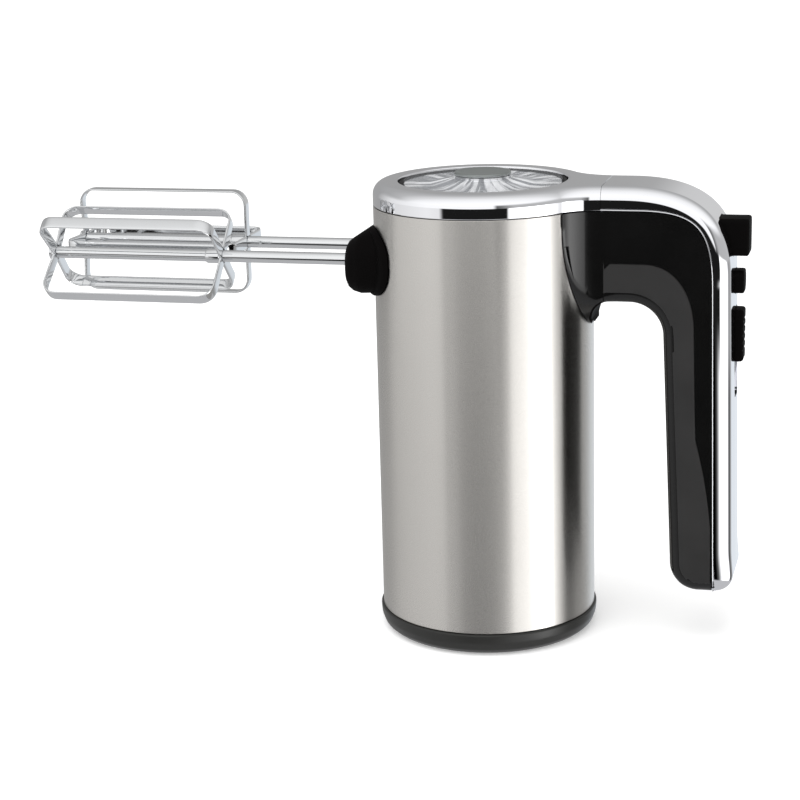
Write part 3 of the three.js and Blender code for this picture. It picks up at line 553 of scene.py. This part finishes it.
def make_ring():
    """Chrome ring round the cap, with the first stretch of the handle's top."""
    end = SEAM_X - SEAM_GAP / 2
    depths = SHOULDER_DOWN * (1 - np.sin(np.linspace(0, math.pi / 2, 15)))
    outside = [(0.5, BODY_TOP), (0.18, BODY_TOP + 0.03), (0.0, BODY_TOP + 0.3)]
    outside += [(float(shoulder_in(d)), TOP - d) for d in depths]
    loops = [[(x, y, z) for x, y in plan_loop(offset, end)] for offset, z in outside]
    flat = plan_loop(SHOULDER_IN, end)
    angle = np.arctan2(flat[:, 1], flat[:, 0])

    def circle(r, z):
        return [(r * math.cos(a), r * math.sin(a), z) for a in angle]

    top_edge = np.array(circle(RECESS_R + 0.5, TOP))
    rim = np.array([(x, y, TOP) for x, y in flat])
    loops += [list(rim * (1 - t) + top_edge * t) for t in (0.08, 0.5, 0.92)]
    # down the wall of the cap's recess, out under its floor and down inside the skirt
    floor, under, floor_in, skirt_in = 187, 183.5, 33, 42
    loops += [circle(r, z) for r, z in (
        (RECESS_R + 0.5, TOP), (RECESS_R + 0.15, TOP - 0.1), (RECESS_R, TOP - 0.45), (RECESS_R, floor),
        (floor_in, floor), (floor_in, under), (skirt_in, under), (skirt_in, BODY_TOP + 0.3),
        (skirt_in + 0.3, BODY_TOP))]
    dress(lofted("top_ring_look", loops, 32, close=True), "top_ring")


def make_cap():
    """Clear cap: black groove ring, silver reflector with radial facets, clear lens and grey badge."""
    seal_in = LENS_R + GAP
    profile = filleted([
        (seal_in, SEAL_LOW.z), (SEAL_HIGH.x, SEAL_LOW.z), (SEAL_HIGH.x, SEAL_HIGH.z),
        (seal_in, SEAL_HIGH.z)], 0.4)
    dress(turned("cap_seal_look", profile), "cap_seal")

    floor = box_mm("cap_reflector")[0].z
    facets, facet_in, facet_out, facet_depth = 30, BADGE_R + 0.8, LENS_R - 3.0, 1.1
    rest = LENS_LOW.z - GAP      # level part of the reflector

    def faceted(r, z, turn):
        share = (r - facet_in) / (facet_out - facet_in)
        if z < floor + 0.6 or not 0 <= share <= 1:
            return z
        saw = abs((turn * facets / (2 * math.pi)) % 1 * 2 - 1)
        return z - facet_depth * saw * min(1, 5 * share, 2 * (1 - share))

    def slope_z(r):
        return rest + 2.2 * max(0, (DISH_R - r) / (DISH_R - BADGE_R - 0.2))

    slope = [(r, slope_z(r)) for r in np.linspace(LENS_R - 0.7, facet_in, 26)]
    profile = [
        (0.01, floor), (LENS_R - 0.3, floor), (LENS_R, floor + 0.3), (LENS_R, rest - 0.3),
        (LENS_R - 0.3, rest), *slope, (BADGE_R + 0.2, 190.8), (BADGE_R + 0.2, 191.4),
        (BADGE_R - 0.1, 191.6), (0.01, 191.6)]
    dress(turned("cap_reflector_look", profile, facets * 8, 12, faceted), "cap_reflector")

    lens = filleted([
        (LENS_R, LENS_LOW.z), (LENS_R, 190.1), (27, 190.9), (DISH_R, 191.6), (BADGE_R + 0.6, LENS_HIGH.z),
        (BADGE_R + 0.6, 191.3), (DISH_R + GAP, LENS_LOW.z + 0.1)], 0.45)
    dress(turned("cap_lens_look", lens, sharp=40), "cap_lens")

    low, high = BADGE_LOW.z, BADGE_HIGH.z
    dish = [
        (0.01, low), (BADGE_R - 0.2, low), (BADGE_R, low + 0.2), (BADGE_R, high - 0.5),
        (BADGE_R - 0.3, high - 0.15), (BADGE_R - 0.7, high), (BADGE_R - 1.1, high),
        (BADGE_R - 1.4, high - 0.2), (9.0, high - 0.28), (5.0, high - 0.36), (0.01, high - 0.4)]
    dress(turned("cap_badge_look", dish, 120), "cap_badge")


# -------- handle
def root_half(x, radius, fillet):
    """Half the plan width at x where the round body runs into the handle."""
    centre_x = (radius + fillet) * math.cos(math.asin((HANDLE_HALF + fillet) / (radius + fillet)))
    away = np.clip(centre_x - x, 0, fillet)
    return HANDLE_HALF + fillet - np.sqrt(fillet ** 2 - away ** 2)


def soft_min(a, b, blend):
    """The smaller of two, with the corner between them rounded."""
    h = np.clip(0.5 + 0.5 * (b - a) / blend, 0, 1)
    return b + (a - b) * h - blend * h * (1 - h)


def over_both_sides(line, half, steps, bulge=np.zeros(2)):
    """Row of points from one side of the handle over to the other; bulge moves its middle."""
    left = [(x, -h, z) for (x, z), h in zip(line[::-1], half[::-1])]
    right = [(x, h, z) for (x, z), h in zip(line, half)]
    middle = []
    for s in np.linspace(-1, 1, steps)[1:-1]:
        x, z = line[0] + bulge * (1 - s * s)
        middle.append((x, half[0] * s, z))
    return left + middle + right


def make_trim():
    """Chrome band over the handle's outside, with a rounded shoulder and a fine bead at its inner edge."""
    start = SEAM_X + SEAM_GAP / 2
    run = np.concatenate([[0, 0.002, 0.005], np.linspace(0.012, 1, 170)])
    near = along(path_of((start, TOP), OUTER_PATH[OUTER_PATH[:, 0] > start]), run)
    inner = path_of((start, BODY_TOP), TRIM_PATH[TRIM_PATH[:, 0] > start])
    # each place on the outer path faces the nearest one on the inner path, or the one straight
    # below it over the body, or the one level with it low on the upright
    dense = along(inner, np.linspace(0, 1, 1500))
    low_z, middle_z, body_x = 60, 100, 62
    far = []
    for x, z in near:
        score = np.linalg.norm(dense - (x, z), axis=1)
        if z < low_z:
            score = abs(dense[:, 1] - z)
        if x < body_x and z > middle_z:
            score = abs(dense[:, 0] - x)
        far.append(dense[np.argmin(score)])
    far = np.array(far)
    for k in range(1, len(far)):
        if far[k - 1][1] < far[k][1]:
            far[k] = far[k - 1]
    bead = 0.5
    bead_rows = bead * np.array([1.9, 1.6, 1.35, 1.15, 1.0, 0.93, 0.8, 0.6, 0.5, 0.4, 0.2, 0.07, 0.0])

    def shares_of(length):
        scale = min(1.0, length / 5.0)
        first = scale * SHOULDER_DOWN * (1 - np.cos(np.linspace(0, math.pi / 2, 14)))
        last = length - scale * bead_rows
        middle = np.linspace(first[-1], last[0], 5)[1:-1]
        return np.concatenate([first, middle, last]) / length

    def half_of(points):
        depth = distance_to(OUTER_PATH, points)
        # the shoulder reaches further down on the upright part
        on_upright = np.clip((175 - points[:, 1]) / 25, 0, 1)
        down = SHOULDER_DOWN * (1 + 0.4 * on_upright)
        half = root_half(points[:, 0], BODY_R, ROOT_FILLET) - shoulder_in(depth, down)
        edge = distance_to(inner, points)
        round_bead = 0.25 * np.sqrt(np.clip(1 - ((edge - bead / 2) / (bead / 2)) ** 2, 0, 1))
        dip = -0.3 * np.clip(1 - abs(edge - bead * 1.25) / (bead * 0.35), 0, 1)
        return half - 0.2 + np.where(edge < bead, round_bead - 0.15, dip)

    places = np.array([a + (b - a) * shares_of(np.linalg.norm(b - a))[:, None] for a, b in zip(near, far)])
    halves = half_of(places.reshape(-1, 2)).reshape(places.shape[:2])
    # rounded end at the seam
    halves[0] -= 0.06
    places[0, 0, 1] -= 0.06
    # the outer face bulges a little over the upright part
    inward = far - near
    inward /= np.linalg.norm(inward, axis=1)[:, None]
    bulge_top, top_fade, bulge_low, low_fade = 182, 32, 27, 15
    upright = np.clip((bulge_top - near[:, 1]) / top_fade, 0, 1)
    upright *= np.clip((near[:, 1] - bulge_low) / low_fade, 0, 1)
    upright = upright * upright * (3 - 2 * upright) * CROWN
    fade = np.clip(1 - np.linalg.norm(places - near[:, None], axis=2) / (SHOULDER_DOWN + 3), 0, 1)
    places += (inward * upright[:, None])[:, None] * (fade * (halves / HANDLE_HALF) ** 2)[..., None]
    rows = [over_both_sides(line, half, 15, -(half[0] / HANDLE_HALF) ** 2 * bulge * way)
            for line, half, bulge, way in zip(places, halves, upright, inward)]
    # closed underneath, so that cutters work on a solid
    trim = sheet("handle_trim_look", rows, 38, fill=True)

    def window(half, low, high, corner, x_in, x_out=115):
        outline = round_rect(0, (low + high) / 2, half, (high - low) / 2, corner)
        return block_tool(outline, x_in, x_out, "x")

    track_low = SLIDER_LOW.z - TRAVEL["speed_slide"] - 0.8
    dress(cut(
        trim,
        window(EJECT_HIGH.y + GAP, EJECT_LOW.z - GAP, EJECT_HIGH.z + GAP, 1.9, 80),
        window(TURBO_HIGH.y + GAP, TURBO_LOW.z - GAP, TURBO_HIGH.z + GAP, 2.6, 90),
        window(SLIDER_HIGH.y + GAP, track_low, SLIDER_HIGH.z + 0.8, 1.2, SLOT_FLOOR),
        window(2.8, 110.5, 134.5, 0.8, 90, 110), sharp=38), "handle_trim")


def make_grip():
    """Gloss black shells with the saddle against the body, and the soft panel let into them."""
    root_r = BODY_R + 0.6
    root_fillet = ROOT_FILLET - 0.6
    sleeve_r = BODY_R + GAP
    edge_along, edge_across = 5.0, 3.2
    to_handle = [46, 57]         # x over which the saddle turns into the handle

    # where the saddle's lower edge lies on the sleeve
    first_x = 37.4
    saddle_x = np.linspace(first_x, 45.25, 26)
    saddle_y = np.sqrt(sleeve_r ** 2 - saddle_x ** 2)
    saddle_z = SADDLE_MIDDLE - SADDLE_DROP * np.sqrt(np.clip(1 - (saddle_y / SADDLE_HALF) ** 2, 0, 1))
    on_sleeve = np.stack([saddle_x, saddle_z], 1)
    pad_x = PAD_PATH[0][0]
    seam = 0.12                  # half the groove round the panel
    top_z = BODY_TOP - GAP

    opening = GRIP_PATH
    first_arc = opening[:FIRST_ARC + 1]

    def on_first_arc(x):
        return (x, float(np.interp(x, first_arc[:, 0], first_arc[:, 1])))

    clear, opening_top = 0.3, 120   # no points closer to the panel's end; the opening's top is above this
    to_pad = opening[opening[:, 0] < pad_x - clear]
    near_first = path_of(on_sleeve, to_pad, on_first_arc(pad_x - seam))
    rest = opening[(opening[:, 0] > pad_x + clear) | (opening[:, 1] < opening_top)]
    pad_start = on_first_arc(pad_x)
    rest = path_of(pad_start, rest)
    rest = along(rest, np.concatenate([[0, 0.0015, 0.004], np.linspace(0.009, 1, 150)]))

    # the far end of each line lies under the trim
    inner = path_of((first_x, top_z), TRIM_PATH[TRIM_PATH[:, 0] > 50] + np.array([-0.2, -0.2]))
    dense_run = np.linspace(0, 1, 2500)
    dense = along(inner, dense_run)
    far_first = np.stack([near_first[:, 0], np.full(len(near_first), top_z)], 1)
    knots_near = [0.0]
    knots_far = [float(dense_run[np.argmin(abs(dense[:, 0] - pad_x))])]
    rest_run = lengths(rest) / lengths(rest)[-1]
    for on_rest, on_inner in (
            ((62.3, 143.7), (62.8, 180.3)), ((75.8, 130.2), (95, 140.5)), ((79.2, 36), (96.4, 36.8)),
            ((96.4, 23.8), (96.6, 28.3))):
        knots_near.append(float(rest_run[np.argmin(np.linalg.norm(rest - on_rest, axis=1))]))
        knots_far.append(float(dense_run[np.argmin(np.linalg.norm(dense - on_inner, axis=1))]))
    # smooth run of the far ends between the matching places
    far_run = np.interp(rest_run, knots_near, knots_far)
    window = 9
    smooth_run = np.convolve(np.pad(far_run, window // 2, "edge"), np.ones(window) / window, "valid")
    smooth_run[0], smooth_run[-1] = far_run[0], far_run[-1]
    near = path_of(near_first, rest)
    far = path_of(far_first, along(inner, smooth_run))

    def half_of(points):
        x, z = points[:, 0], points[:, 1]
        plan = root_half(x, root_r, root_fillet)
        depth = distance_to(opening, points)
        soft = np.interp(x, to_handle, [1.2, edge_along])
        reach = np.interp(x, to_handle, [1.0, edge_across])
        # rounded like the chrome at its lower outer end
        end = np.clip((42 - z) / 12, 0, 1) * np.clip((x - 84) / 8, 0, 1)
        reach = reach + end * (SHOULDER_IN - edge_across)
        share = 1 - np.clip(depth / soft, 0, 1)
        rounded = plan - np.where(x > 45.5, reach * (1 - np.sqrt(1 - share ** 2)), 0)
        lift = np.clip(1 - ((z - SADDLE_MIDDLE) / SADDLE_DROP) ** 2, 0, 1)
        saddle = np.where(z < SADDLE_MIDDLE, SADDLE_HALF * np.sqrt(lift), SADDLE_HALF + 3)
        return np.where(x < 60, soft_min(rounded, saddle, 1.0), rounded)

    # each line is split at the panel's edge, where it crosses the panel's outline
    lower, upper = 26, 22        # rows on each side of the panel's edge
    rim_rows = 14                # rows over the rounded rim round the opening
    rim = 4.2
    grown = np.linspace(0, 1, rim_rows + 1) ** 1.8
    places = []
    first_count = len(near_first)
    for k, (start, end) in enumerate(zip(near, far)):
        step = end - start
        length = max(np.linalg.norm(step), 1e-6)
        if k < first_count:
            split = min(0.45, max(0.05, (PAD_PATH[1][1] - start[1]) / length))
        else:
            split = crossing(start, end, PAD_PATH[1:])
        edge = min(rim / length, 0.8 * split)
        plain = edge + (split - edge) * np.linspace(0, 1, lower - rim_rows + 1)[1:]
        above = split + (1 - split) * np.linspace(0, 1, upper + 1)[1:]
        shares = np.concatenate([grown * edge, plain, above])
        # keep two fine rows each side of the panel's edge
        fine = min(0.45 / length, split * 0.4 + 1e-6)
        shares[lower - 1] = split - fine
        shares[lower + 1] = split + min(fine, (1 - split) * 0.3)
        shares[:lower] = np.sort(shares[:lower])
        shares[lower + 1:] = np.sort(shares[lower + 1:])
        places.append(start + step * shares[:, None])
    places = np.array(places)
    halves = half_of(places.reshape(-1, 2)).reshape(places.shape[:2])

    shell_lines = slice(first_count, None)
    # shells: everything outside the panel's edge, plus the stretch between the body and the panel
    for side, sign in (("left", -1), ("right", 1)):
        points, faces = [], []
        rows = lower + upper + 1
        high = halves.copy()
        high[shell_lines, lower] -= 0.5
        high[first_count, :lower + 1] -= 0.3
        for line, half in zip(places, high):
            points += [(x, sign * h, z) for (x, z), h in zip(line, half)]
        for face in grid_faces(len(places), rows):
            i, j = divmod(face[0], rows)
            if i < first_count or j >= lower:
                faces.append(face)
        # across the opening's face to the joint between the two shells
        shares = np.array([1 - 0.02, 0.75, 0.5, 0.25, 0.01])
        base = len(points)
        for i in range(first_count + 1):
            x, z = places[i, 0]
            points += [(x, sign * high[i, 0] * s, z) for s in shares]
        inner_rows = len(shares)
        for i in range(first_count):
            a, b = base + i * inner_rows, base + (i + 1) * inner_rows
            faces.append((i * rows, a, b, (i + 1) * rows))
            faces += [(a + j, a + j + 1, b + j + 1, b + j) for j in range(inner_rows - 1)]
        shell = piece_from(f"handle_shell_{side}_look", points, faces, 40)
        face_out(shell, sign)
        dress(thicken(shell, 2.0, 40), f"handle_shell_{side}")
        second_finish(shell, "control_black", lambda spots: distance_to(opening, spots) < 0.8)

    # panel: from its edge on one side, across the opening's face, to its edge on the other
    high = halves.copy()
    high[shell_lines, lower] -= 0.45
    high[first_count, :] -= 0.25
    rows = [over_both_sides(line[:lower + 1], half[:lower + 1], 17)
            for line, half in zip(places[shell_lines], high[shell_lines])]
    pad = sheet("grip_inlay_look", rows, 40)
    face_out(pad, 0)
    dress(thicken(pad, 1.8, 40), "grip_inlay")
    # the panel's rim round the opening is polished like the shells
    second_finish(pad, "gloss_black", lambda spots: distance_to(opening, spots) < rim)


def second_finish(piece, slot, chosen):
    """Gives another slot's finish to the faces whose middles, seen from the side, are chosen."""
    piece.data.materials.append(LOOKS[slot])
    middles = np.array([polygon.center for polygon in piece.data.polygons]) / MM
    piece.data.polygons.foreach_set("material_index", chosen(middles[:, [0, 2]]).astype(int))


def crossing(start, end, path):
    """Share of the way from start to end at which the line meets the path, or half if it doesn't."""
    step = end - start
    for a, b in zip(path[:-1], path[1:]):
        side, to = b - a, a - start
        det = side[0] * step[1] - step[0] * side[1]
        if abs(det) < 1e-12:
            continue
        t = (side[0] * to[1] - to[0] * side[1]) / det
        u = (step[0] * to[1] - step[1] * to[0]) / det
        if -1e-9 <= u <= 1 + 1e-9 and 0 <= t <= 1:
            return t
    return 0.5


def face_out(piece, sign):
    """Turns a side sheet's faces to the side of the sign, or for 0 a double sheet's away from the middle."""
    score = 0.0
    for polygon in piece.data.polygons:
        away = polygon.center.y if sign == 0 else sign
        score += polygon.normal.y * math.copysign(1, away) * polygon.area
    if score < 0:
        piece.data.flip_normals()
        shade(piece, 40)


# -------- nose
def make_nose():
    """Black block that the beaters plug into, with a flange that hugs the sleeve."""
    def ring(half, low, high, r, x_of):
        """Rounded rectangle between two heights, at an x that may change across."""
        return [(x_of(y), y, z) for y, z in round_rect(0, (low + high) / 2, half, (high - low) / 2, r, 20)]

    def flat(x):
        return lambda y: x

    def hug(radius):
        return lambda y: -math.sqrt(radius ** 2 - min(abs(y), radius - 1) ** 2)

    def mix(a, b, t):
        return [tuple(np.array(p) * (1 - t) + np.array(q) * t) for p, q in zip(a, b)]

    middle_z = (NOSE_LOW.z + NOSE_HIGH.z) / 2
    half, low, high = NOSE_HIGH.y, NOSE_LOW.z, NOSE_HIGH.z
    # half width, how far in from the lower and the upper end, corner, and place behind the face
    face, lip, edge, front, back = (
        ring(across, low + up, high - down, corner, flat(NOSE_FACE + behind))
        for across, up, down, corner, behind in (
            (20.4, 4.2, 8.7, 6.6, 0), (21.6, 3.2, 7.5, 7.4, 0.25), (22.8, 2.1, 6.4, 8.0, 1.0),
            (24.2, 1.0, 5.0, 8.5, 2.8), (26.2, 0.4, 2.9, 9.0, 6.4)))
    flange_r = BODY_R + 2.4
    foot_in = ring(27.6, low + 0.7, high - 1.1, 10, hug(flange_r))
    rim = ring(half - 0.8, low + 0.6, high - 0.6, 11.6, hug(flange_r))
    rim_out = ring(half, low, high, 12, hug(flange_r - 0.8))
    seat = ring(half, low, high, 12, hug(BODY_R + GAP))
    centre = [(NOSE_FACE, 0, middle_z - 2)] * len(face)
    rings = [mix(centre, face, t) for t in (0.02, 0.35, 0.7, 0.92)] + [face, lip, edge, front]
    rings += [mix(front, back, t) for t in (0.12, 0.4, 0.7)]
    rings += [mix(back, foot_in, t) for t in (0, 0.35, 0.7)] + [foot_in]
    rings += [mix(foot_in, rim, 0.5), rim, rim_out, seat]
    hidden = [ring(h, middle_z - v, middle_z + v, v * 0.9, hug(BODY_R + GAP))
              for h, v in ((26, 11), (14, 7), (0.4, 0.2))]
    nose = lofted("nose_housing_look", rings + hidden, 35)
    tools = []
    for y in (-BEATER_Y, BEATER_Y):
        for r, x_low, x_high in ((3.2, -60, -40), (6.5, -51, -38)):
            tools.append(block_tool(arc(y, BEATER_Z, r, r, 0, 352.5, 47), x_low, x_high, "x"))
    dress(cut(nose, *tools, sharp=35), "nose_housing")


# -------- controls
def make_button(node, x_in, corner, edge):
    """Push button with rounded corners and a slightly crowned face."""
    low, high = box_mm(node)
    half, middle, tall = high.y, (low.z + high.z) / 2, (high.z - low.z) / 2
    rings = [(x_in, 0.0), (x_in + 2, 0.0), (high.x - edge * 1.4, 0.0)]
    rings += [(high.x - 0.3 - edge * 1.1 * (1 - math.sin(t)), edge * (1 - math.cos(t)))
              for t in np.linspace(0, math.pi / 2, 8)[1:]]
    loops = [[(x, y, z) for y, z in round_rect(0, middle, half - i, tall - i, max(corner - i * 0.6, 0.4))]
             for x, i in rings]
    last = np.array(loops[-1])
    centre = np.array([high.x, 0, middle])
    for s in (0.8, 0.55, 0.3, 0.05):
        ring = centre + (last - centre) * s
        ring[:, 0] = high.x - 0.3 * s * s
        loops.append(ring)
    dress(lofted(node + "_look", loops, 40), node)


def make_slider():
    """Speed slider with five grip grooves across it, on a stem that goes into the handle."""
    half, face, back = SLIDER_HIGH.y, SLIDER_HIGH.x, SLOT_FLOOR + 0.4
    low, high, end = SLIDER_LOW.z, SLIDER_HIGH.z, np.array([0, 0.15, 0.4, 0.8, 1.2])
    grooves = (low + high) / 2 + np.array([-6, -3, 0, 3, 6])
    loops = []
    for z in np.concatenate([low + end, np.linspace(low + 1.6, high - 1.6, 61), high - end[::-1]]):
        inset = 1 - math.sqrt(1 - (1 - min(min(z - low, high - z) / 1.2, 1)) ** 2)
        groove = max(math.exp(-((z - g) / 0.45) ** 2) for g in grooves) * 0.35
        front = face - inset - groove
        section = round_rect((back + front) / 2, 0, (front - back) / 2, half - inset * 0.8, 0.9)
        loops.append([(x, y, z) for x, y in section])
    dress(lofted("speed_slider_look", loops, 40), "speed_slider")


def make_spring(node, wire, turns):
    """Coil spring of the given wire and turns, wound from end to end of its CAD node's box."""
    low, high = box_mm(node)
    y, z = (low.y + high.y) / 2, (low.z + high.z) / 2
    radius = high.z - z - wire
    section = np.radians(np.arange(0, 360, 30))
    rings = []
    for t in np.linspace(0, 1, turns * 24 + 1):
        angle = 2 * math.pi * turns * t
        x = low.x + wire + (high.x - low.x - 2 * wire) * t
        rings.append([(x + wire * math.sin(a), y + (radius + wire * math.cos(a)) * math.cos(angle),
                       z + (radius + wire * math.cos(a)) * math.sin(angle)) for a in section])
    spring = dress(lofted(node + "_look", rings, 50), node)
    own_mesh(spring)


# -------- beaters
def make_wing(node, y, turn):
    """One wing: a flat strip with soft edges, bent to a C from the tip to the collar."""
    inner, bend, tip = ROD_R + 0.2, 6.5, SHAFT_LOW.x
    half_width, half_thick = 2.75, 0.5
    corner = WING_R - bend
    r = bend - half_thick
    path = path_of(
        (tip + 2.5, inner), arc(WING_LOW.x + bend, corner, r, r, 184, 90, 16),
        arc(WING_HIGH.x - bend, corner, r, r, 90, 0, 16), (WING_HIGH.x - half_thick, inner))
    path = along(path, np.linspace(0, 1, 130))
    run = np.gradient(path, axis=0)
    run /= np.linalg.norm(run, axis=1)[:, None]
    side = np.stack([-run[:, 1], run[:, 0]], 1)
    turn_round = np.radians(np.arange(0, 360, 15))
    lens = [np.sign(w) * abs(w) ** 0.6 for w in (np.cos(turn_round), np.sin(turn_round))]
    section = np.stack([half_width * lens[0], half_thick * lens[1]], 1)
    angle = math.radians(turn)
    loops = []
    for p, n in zip(path, side):
        loop = []
        for across, out in section:
            x, radial = p[0] + n[0] * out, p[1] + n[1] * out
            loop.append((x, y + across * math.cos(angle) - radial * math.sin(angle),
                         BEATER_Z + across * math.sin(angle) + radial * math.cos(angle)))
        loops.append(loop)
    dress(lofted(node + "_look", loops, 50), node)


def make_beaters():
    for side, y, phase in (("left", -BEATER_Y, 45), ("right", BEATER_Y, 0)):
        node = f"beater_shaft_{side}"
        low, high = box_mm(node)
        tip, end = low.x, high.x
        front, back = COLLAR
        profile = [
            (tip, 0.05), (tip, 2.6), (tip + 0.12, 3.0), (tip + 0.35, 3.3), (tip + 1.3, 3.3),
            (tip + 1.55, 3.0), (tip + 1.7, ROD_R), (front - 0.2, ROD_R), (front, 2.8), (front + 0.25, 3.0),
            (front + 0.5, 3.1), (back - 0.5, 3.1), (back - 0.25, 3.0), (back, 2.8), (back + 0.2, ROD_R),
            (end - 1.2, ROD_R), (end - 0.4, 2.2), (end, 1.5), (end, 0.05)]
        dress(turned_along_x(node + "_look", profile, y, BEATER_Z), node)
        for i in range(4):
            make_wing(f"beater_wing_{side}_{i + 1}", y, phase + 90 * i)


# -------- stage, light and camera
def make_floor():
    near, far = -9000, 16000
    points = [(-FLOOR_REACH, near, 0), (FLOOR_REACH, near, 0), (FLOOR_REACH, far, 0), (-FLOOR_REACH, far, 0)]
    floor = piece_from("studio_floor", points, [(0, 1, 2, 3)])
    web, shader = new_material("studio_floor")
    web.fill(shader, {
        "Base Color": web.tinted(web.noise(6), (0.95, 0.95, 0.95), (0.97, 0.97, 0.97)), "Roughness": 0.9,
        "Specular IOR Level": 0.1, "Emission Color": (1, 1, 1, 1), "Emission Strength": 0.34})
    floor.data.materials.append(LOOKS["studio_floor"])
    floor.visible_glossy = False
    floor.visible_shadow = False


OUTER_TONE = (0.72, 0.76, 0.8)   # what the handle's outer face reflects


def make_studio():
    """Soft studio surroundings: light walls and ceiling, with a dark gap low in front at the camera."""
    world = bpy.data.worlds.new("studio")
    bpy.context.scene.world = world
    world.use_nodes = True
    web = Web(world.node_tree)

    def maths(operation, *values):
        return web.add("ShaderNodeMath", dict(enumerate(values)), operation=operation)["Value"]

    where = web.add("ShaderNodeTexCoord")["Generated"]
    to_front = web.add("ShaderNodeVectorRotate", {"Vector": where, "Angle": -math.radians(CAMERA_TURN)},
                       rotation_type="Z_AXIS")["Vector"]
    x, y, z = web.add("ShaderNodeSeparateXYZ", {"Vector": to_front})
    front = maths("MULTIPLY", y, -1.0)
    around = maths("ADD", maths("DIVIDE", maths("ARCTAN2", x, front), 2 * math.pi), 0.5)
    rise = maths("ARCSINE", z)

    def level(stops):
        """Band round the object, from stops of degrees right of the front and a tone."""
        return web.ramp(around, [((degrees + 180) / 360, tone) for degrees, tone in stops])

    # level bands: towards the floor, just under the horizon, and above it
    deep = level([
        (-180, 0.4), (-150, 0.38), (-115, 0.48), (-96, 0.54), (-55, 0.54), (-36, 0.42), (-26, 0.1),
        (-16, 0.0), (-4, 0.0), (8, 0.12), (18, 0.8), (27, 1.5), (48, 1.7), (56, 4.0), (67, 4.0), (76, 1.5),
        (84, 0.8), (92, 0.06), (100, 0.05), (112, 0.25), (128, 0.34), (148, OUTER_TONE),
        (168, OUTER_TONE), (180, 0.4)])
    sill = level([
        (-180, 0.36), (-125, 0.32), (-108, 0.7), (-60, 0.85), (-46, 0.8), (-42, 0.01), (24, 0.01),
        (27, 1.5), (50, 2.8), (67, 3.5), (80, 1.2), (92, 0.3), (128, 0.4), (148, OUTER_TONE),
        (168, OUTER_TONE), (180, 0.36)])
    high = level([
        (-180, 0.33), (-140, 0.34), (-110, 0.75), (-60, 1.0), (-35, 1.0), (10, 1.0), (14, 0.12), (20, 0.2),
        (32, 0.45), (125, 0.5), (158, 0.58), (167, 0.55), (173, 0.37), (180, 0.33)])
    # from the camera's side over the top to the far side
    over = maths("DIVIDE", maths("ARCTAN2", maths("MAXIMUM", z, 0.0), front), math.pi)
    sky = web.ramp(over, [
        (0.0, 1.05), (0.17, 1.05), (0.28, 0.99), (0.383, 0.915), (0.44, 0.85), (0.5, 0.735), (0.583, 0.62),
        (0.67, 0.47), (0.8, 0.38), (1.0, 0.35)])

    def mixed(a, b, share):
        """Colour between a and b: inputs 6 and 7 and output 2 are the node's colours."""
        return web.add("ShaderNodeMix", {0: share, 6: a, 7: b}, data_type="RGBA")[2]

    tone = (0.5, 0.5, 0.51, 1)   # the ground
    # each layer takes over from the one below between two heights in degrees
    for layer, start, end in ((deep, -38, -30), (sill, -14, -12), (high, -6, -3), (sky, 10, 28)):
        limits = {"From Min": math.radians(start), "From Max": math.radians(end)}
        share = web.add("ShaderNodeMapRange", {"Value": rise, **limits}, interpolation_type="SMOOTHSTEP")
        tone = mixed(tone, layer, share["Result"])
    tone = mixed(tone, (0.9, 0.9, 0.9, 1), web.add("ShaderNodeLightPath")["Is Camera Ray"])
    web.fill(web.tree.nodes["Background"], {"Color": tone, "Strength": 1.12})


def make_key_light():
    """Soft light overhead that isn't seen itself."""
    data = bpy.data.lights.new("key_overhead", "AREA")
    data.shape = "RECTANGLE"
    data.size, data.size_y, data.energy = 1.6, 1.2, 14
    light = add_object("key_overhead", data)
    place, target = Vector((-0.2, -0.5, 1.7)), Vector((0, 0, 0.1))
    light.location = place
    light.rotation_euler = (target - place).to_track_quat("-Z", "Y").to_euler()
    light.visible_camera = False
    light.visible_glossy = False


def make_camera():
    """From the front right, a little above."""
    data = bpy.data.cameras.new("camera")
    data.lens = 93.15
    data.sensor_width = 36
    data.clip_end = 60
    camera = add_object("camera", data)
    forward = Vector((-0.246, 0.9351, -0.2551)).normalized()
    up = Vector((-0.0402, 0.2532, 0.9666))
    right = forward.cross(up).normalized()
    up = right.cross(forward)
    turn = Matrix((right, up, -forward)).transposed().to_4x4()
    camera.matrix_world = Matrix.Translation(Vector((178.1, -818.4, 318.5)) * MM) @ turn
    bpy.context.scene.camera = camera


make_looks()
dress_cad_nodes()
make_sleeve()
make_heel()
make_ring()
make_cap()
make_trim()
make_grip()
make_nose()
make_button("eject_button", x_in=94.0, corner=1.6, edge=1.0)
make_button("turbo_button", x_in=96.0, corner=2.4, edge=0.8)
make_slider()
make_spring("eject_spring", wire=0.6, turns=7)
make_spring("turbo_spring", wire=0.4, turns=3)
make_beaters()
make_floor()
make_studio()
make_key_light()
make_camera()
bpy.context.scene.view_settings.view_transform = "Standard"
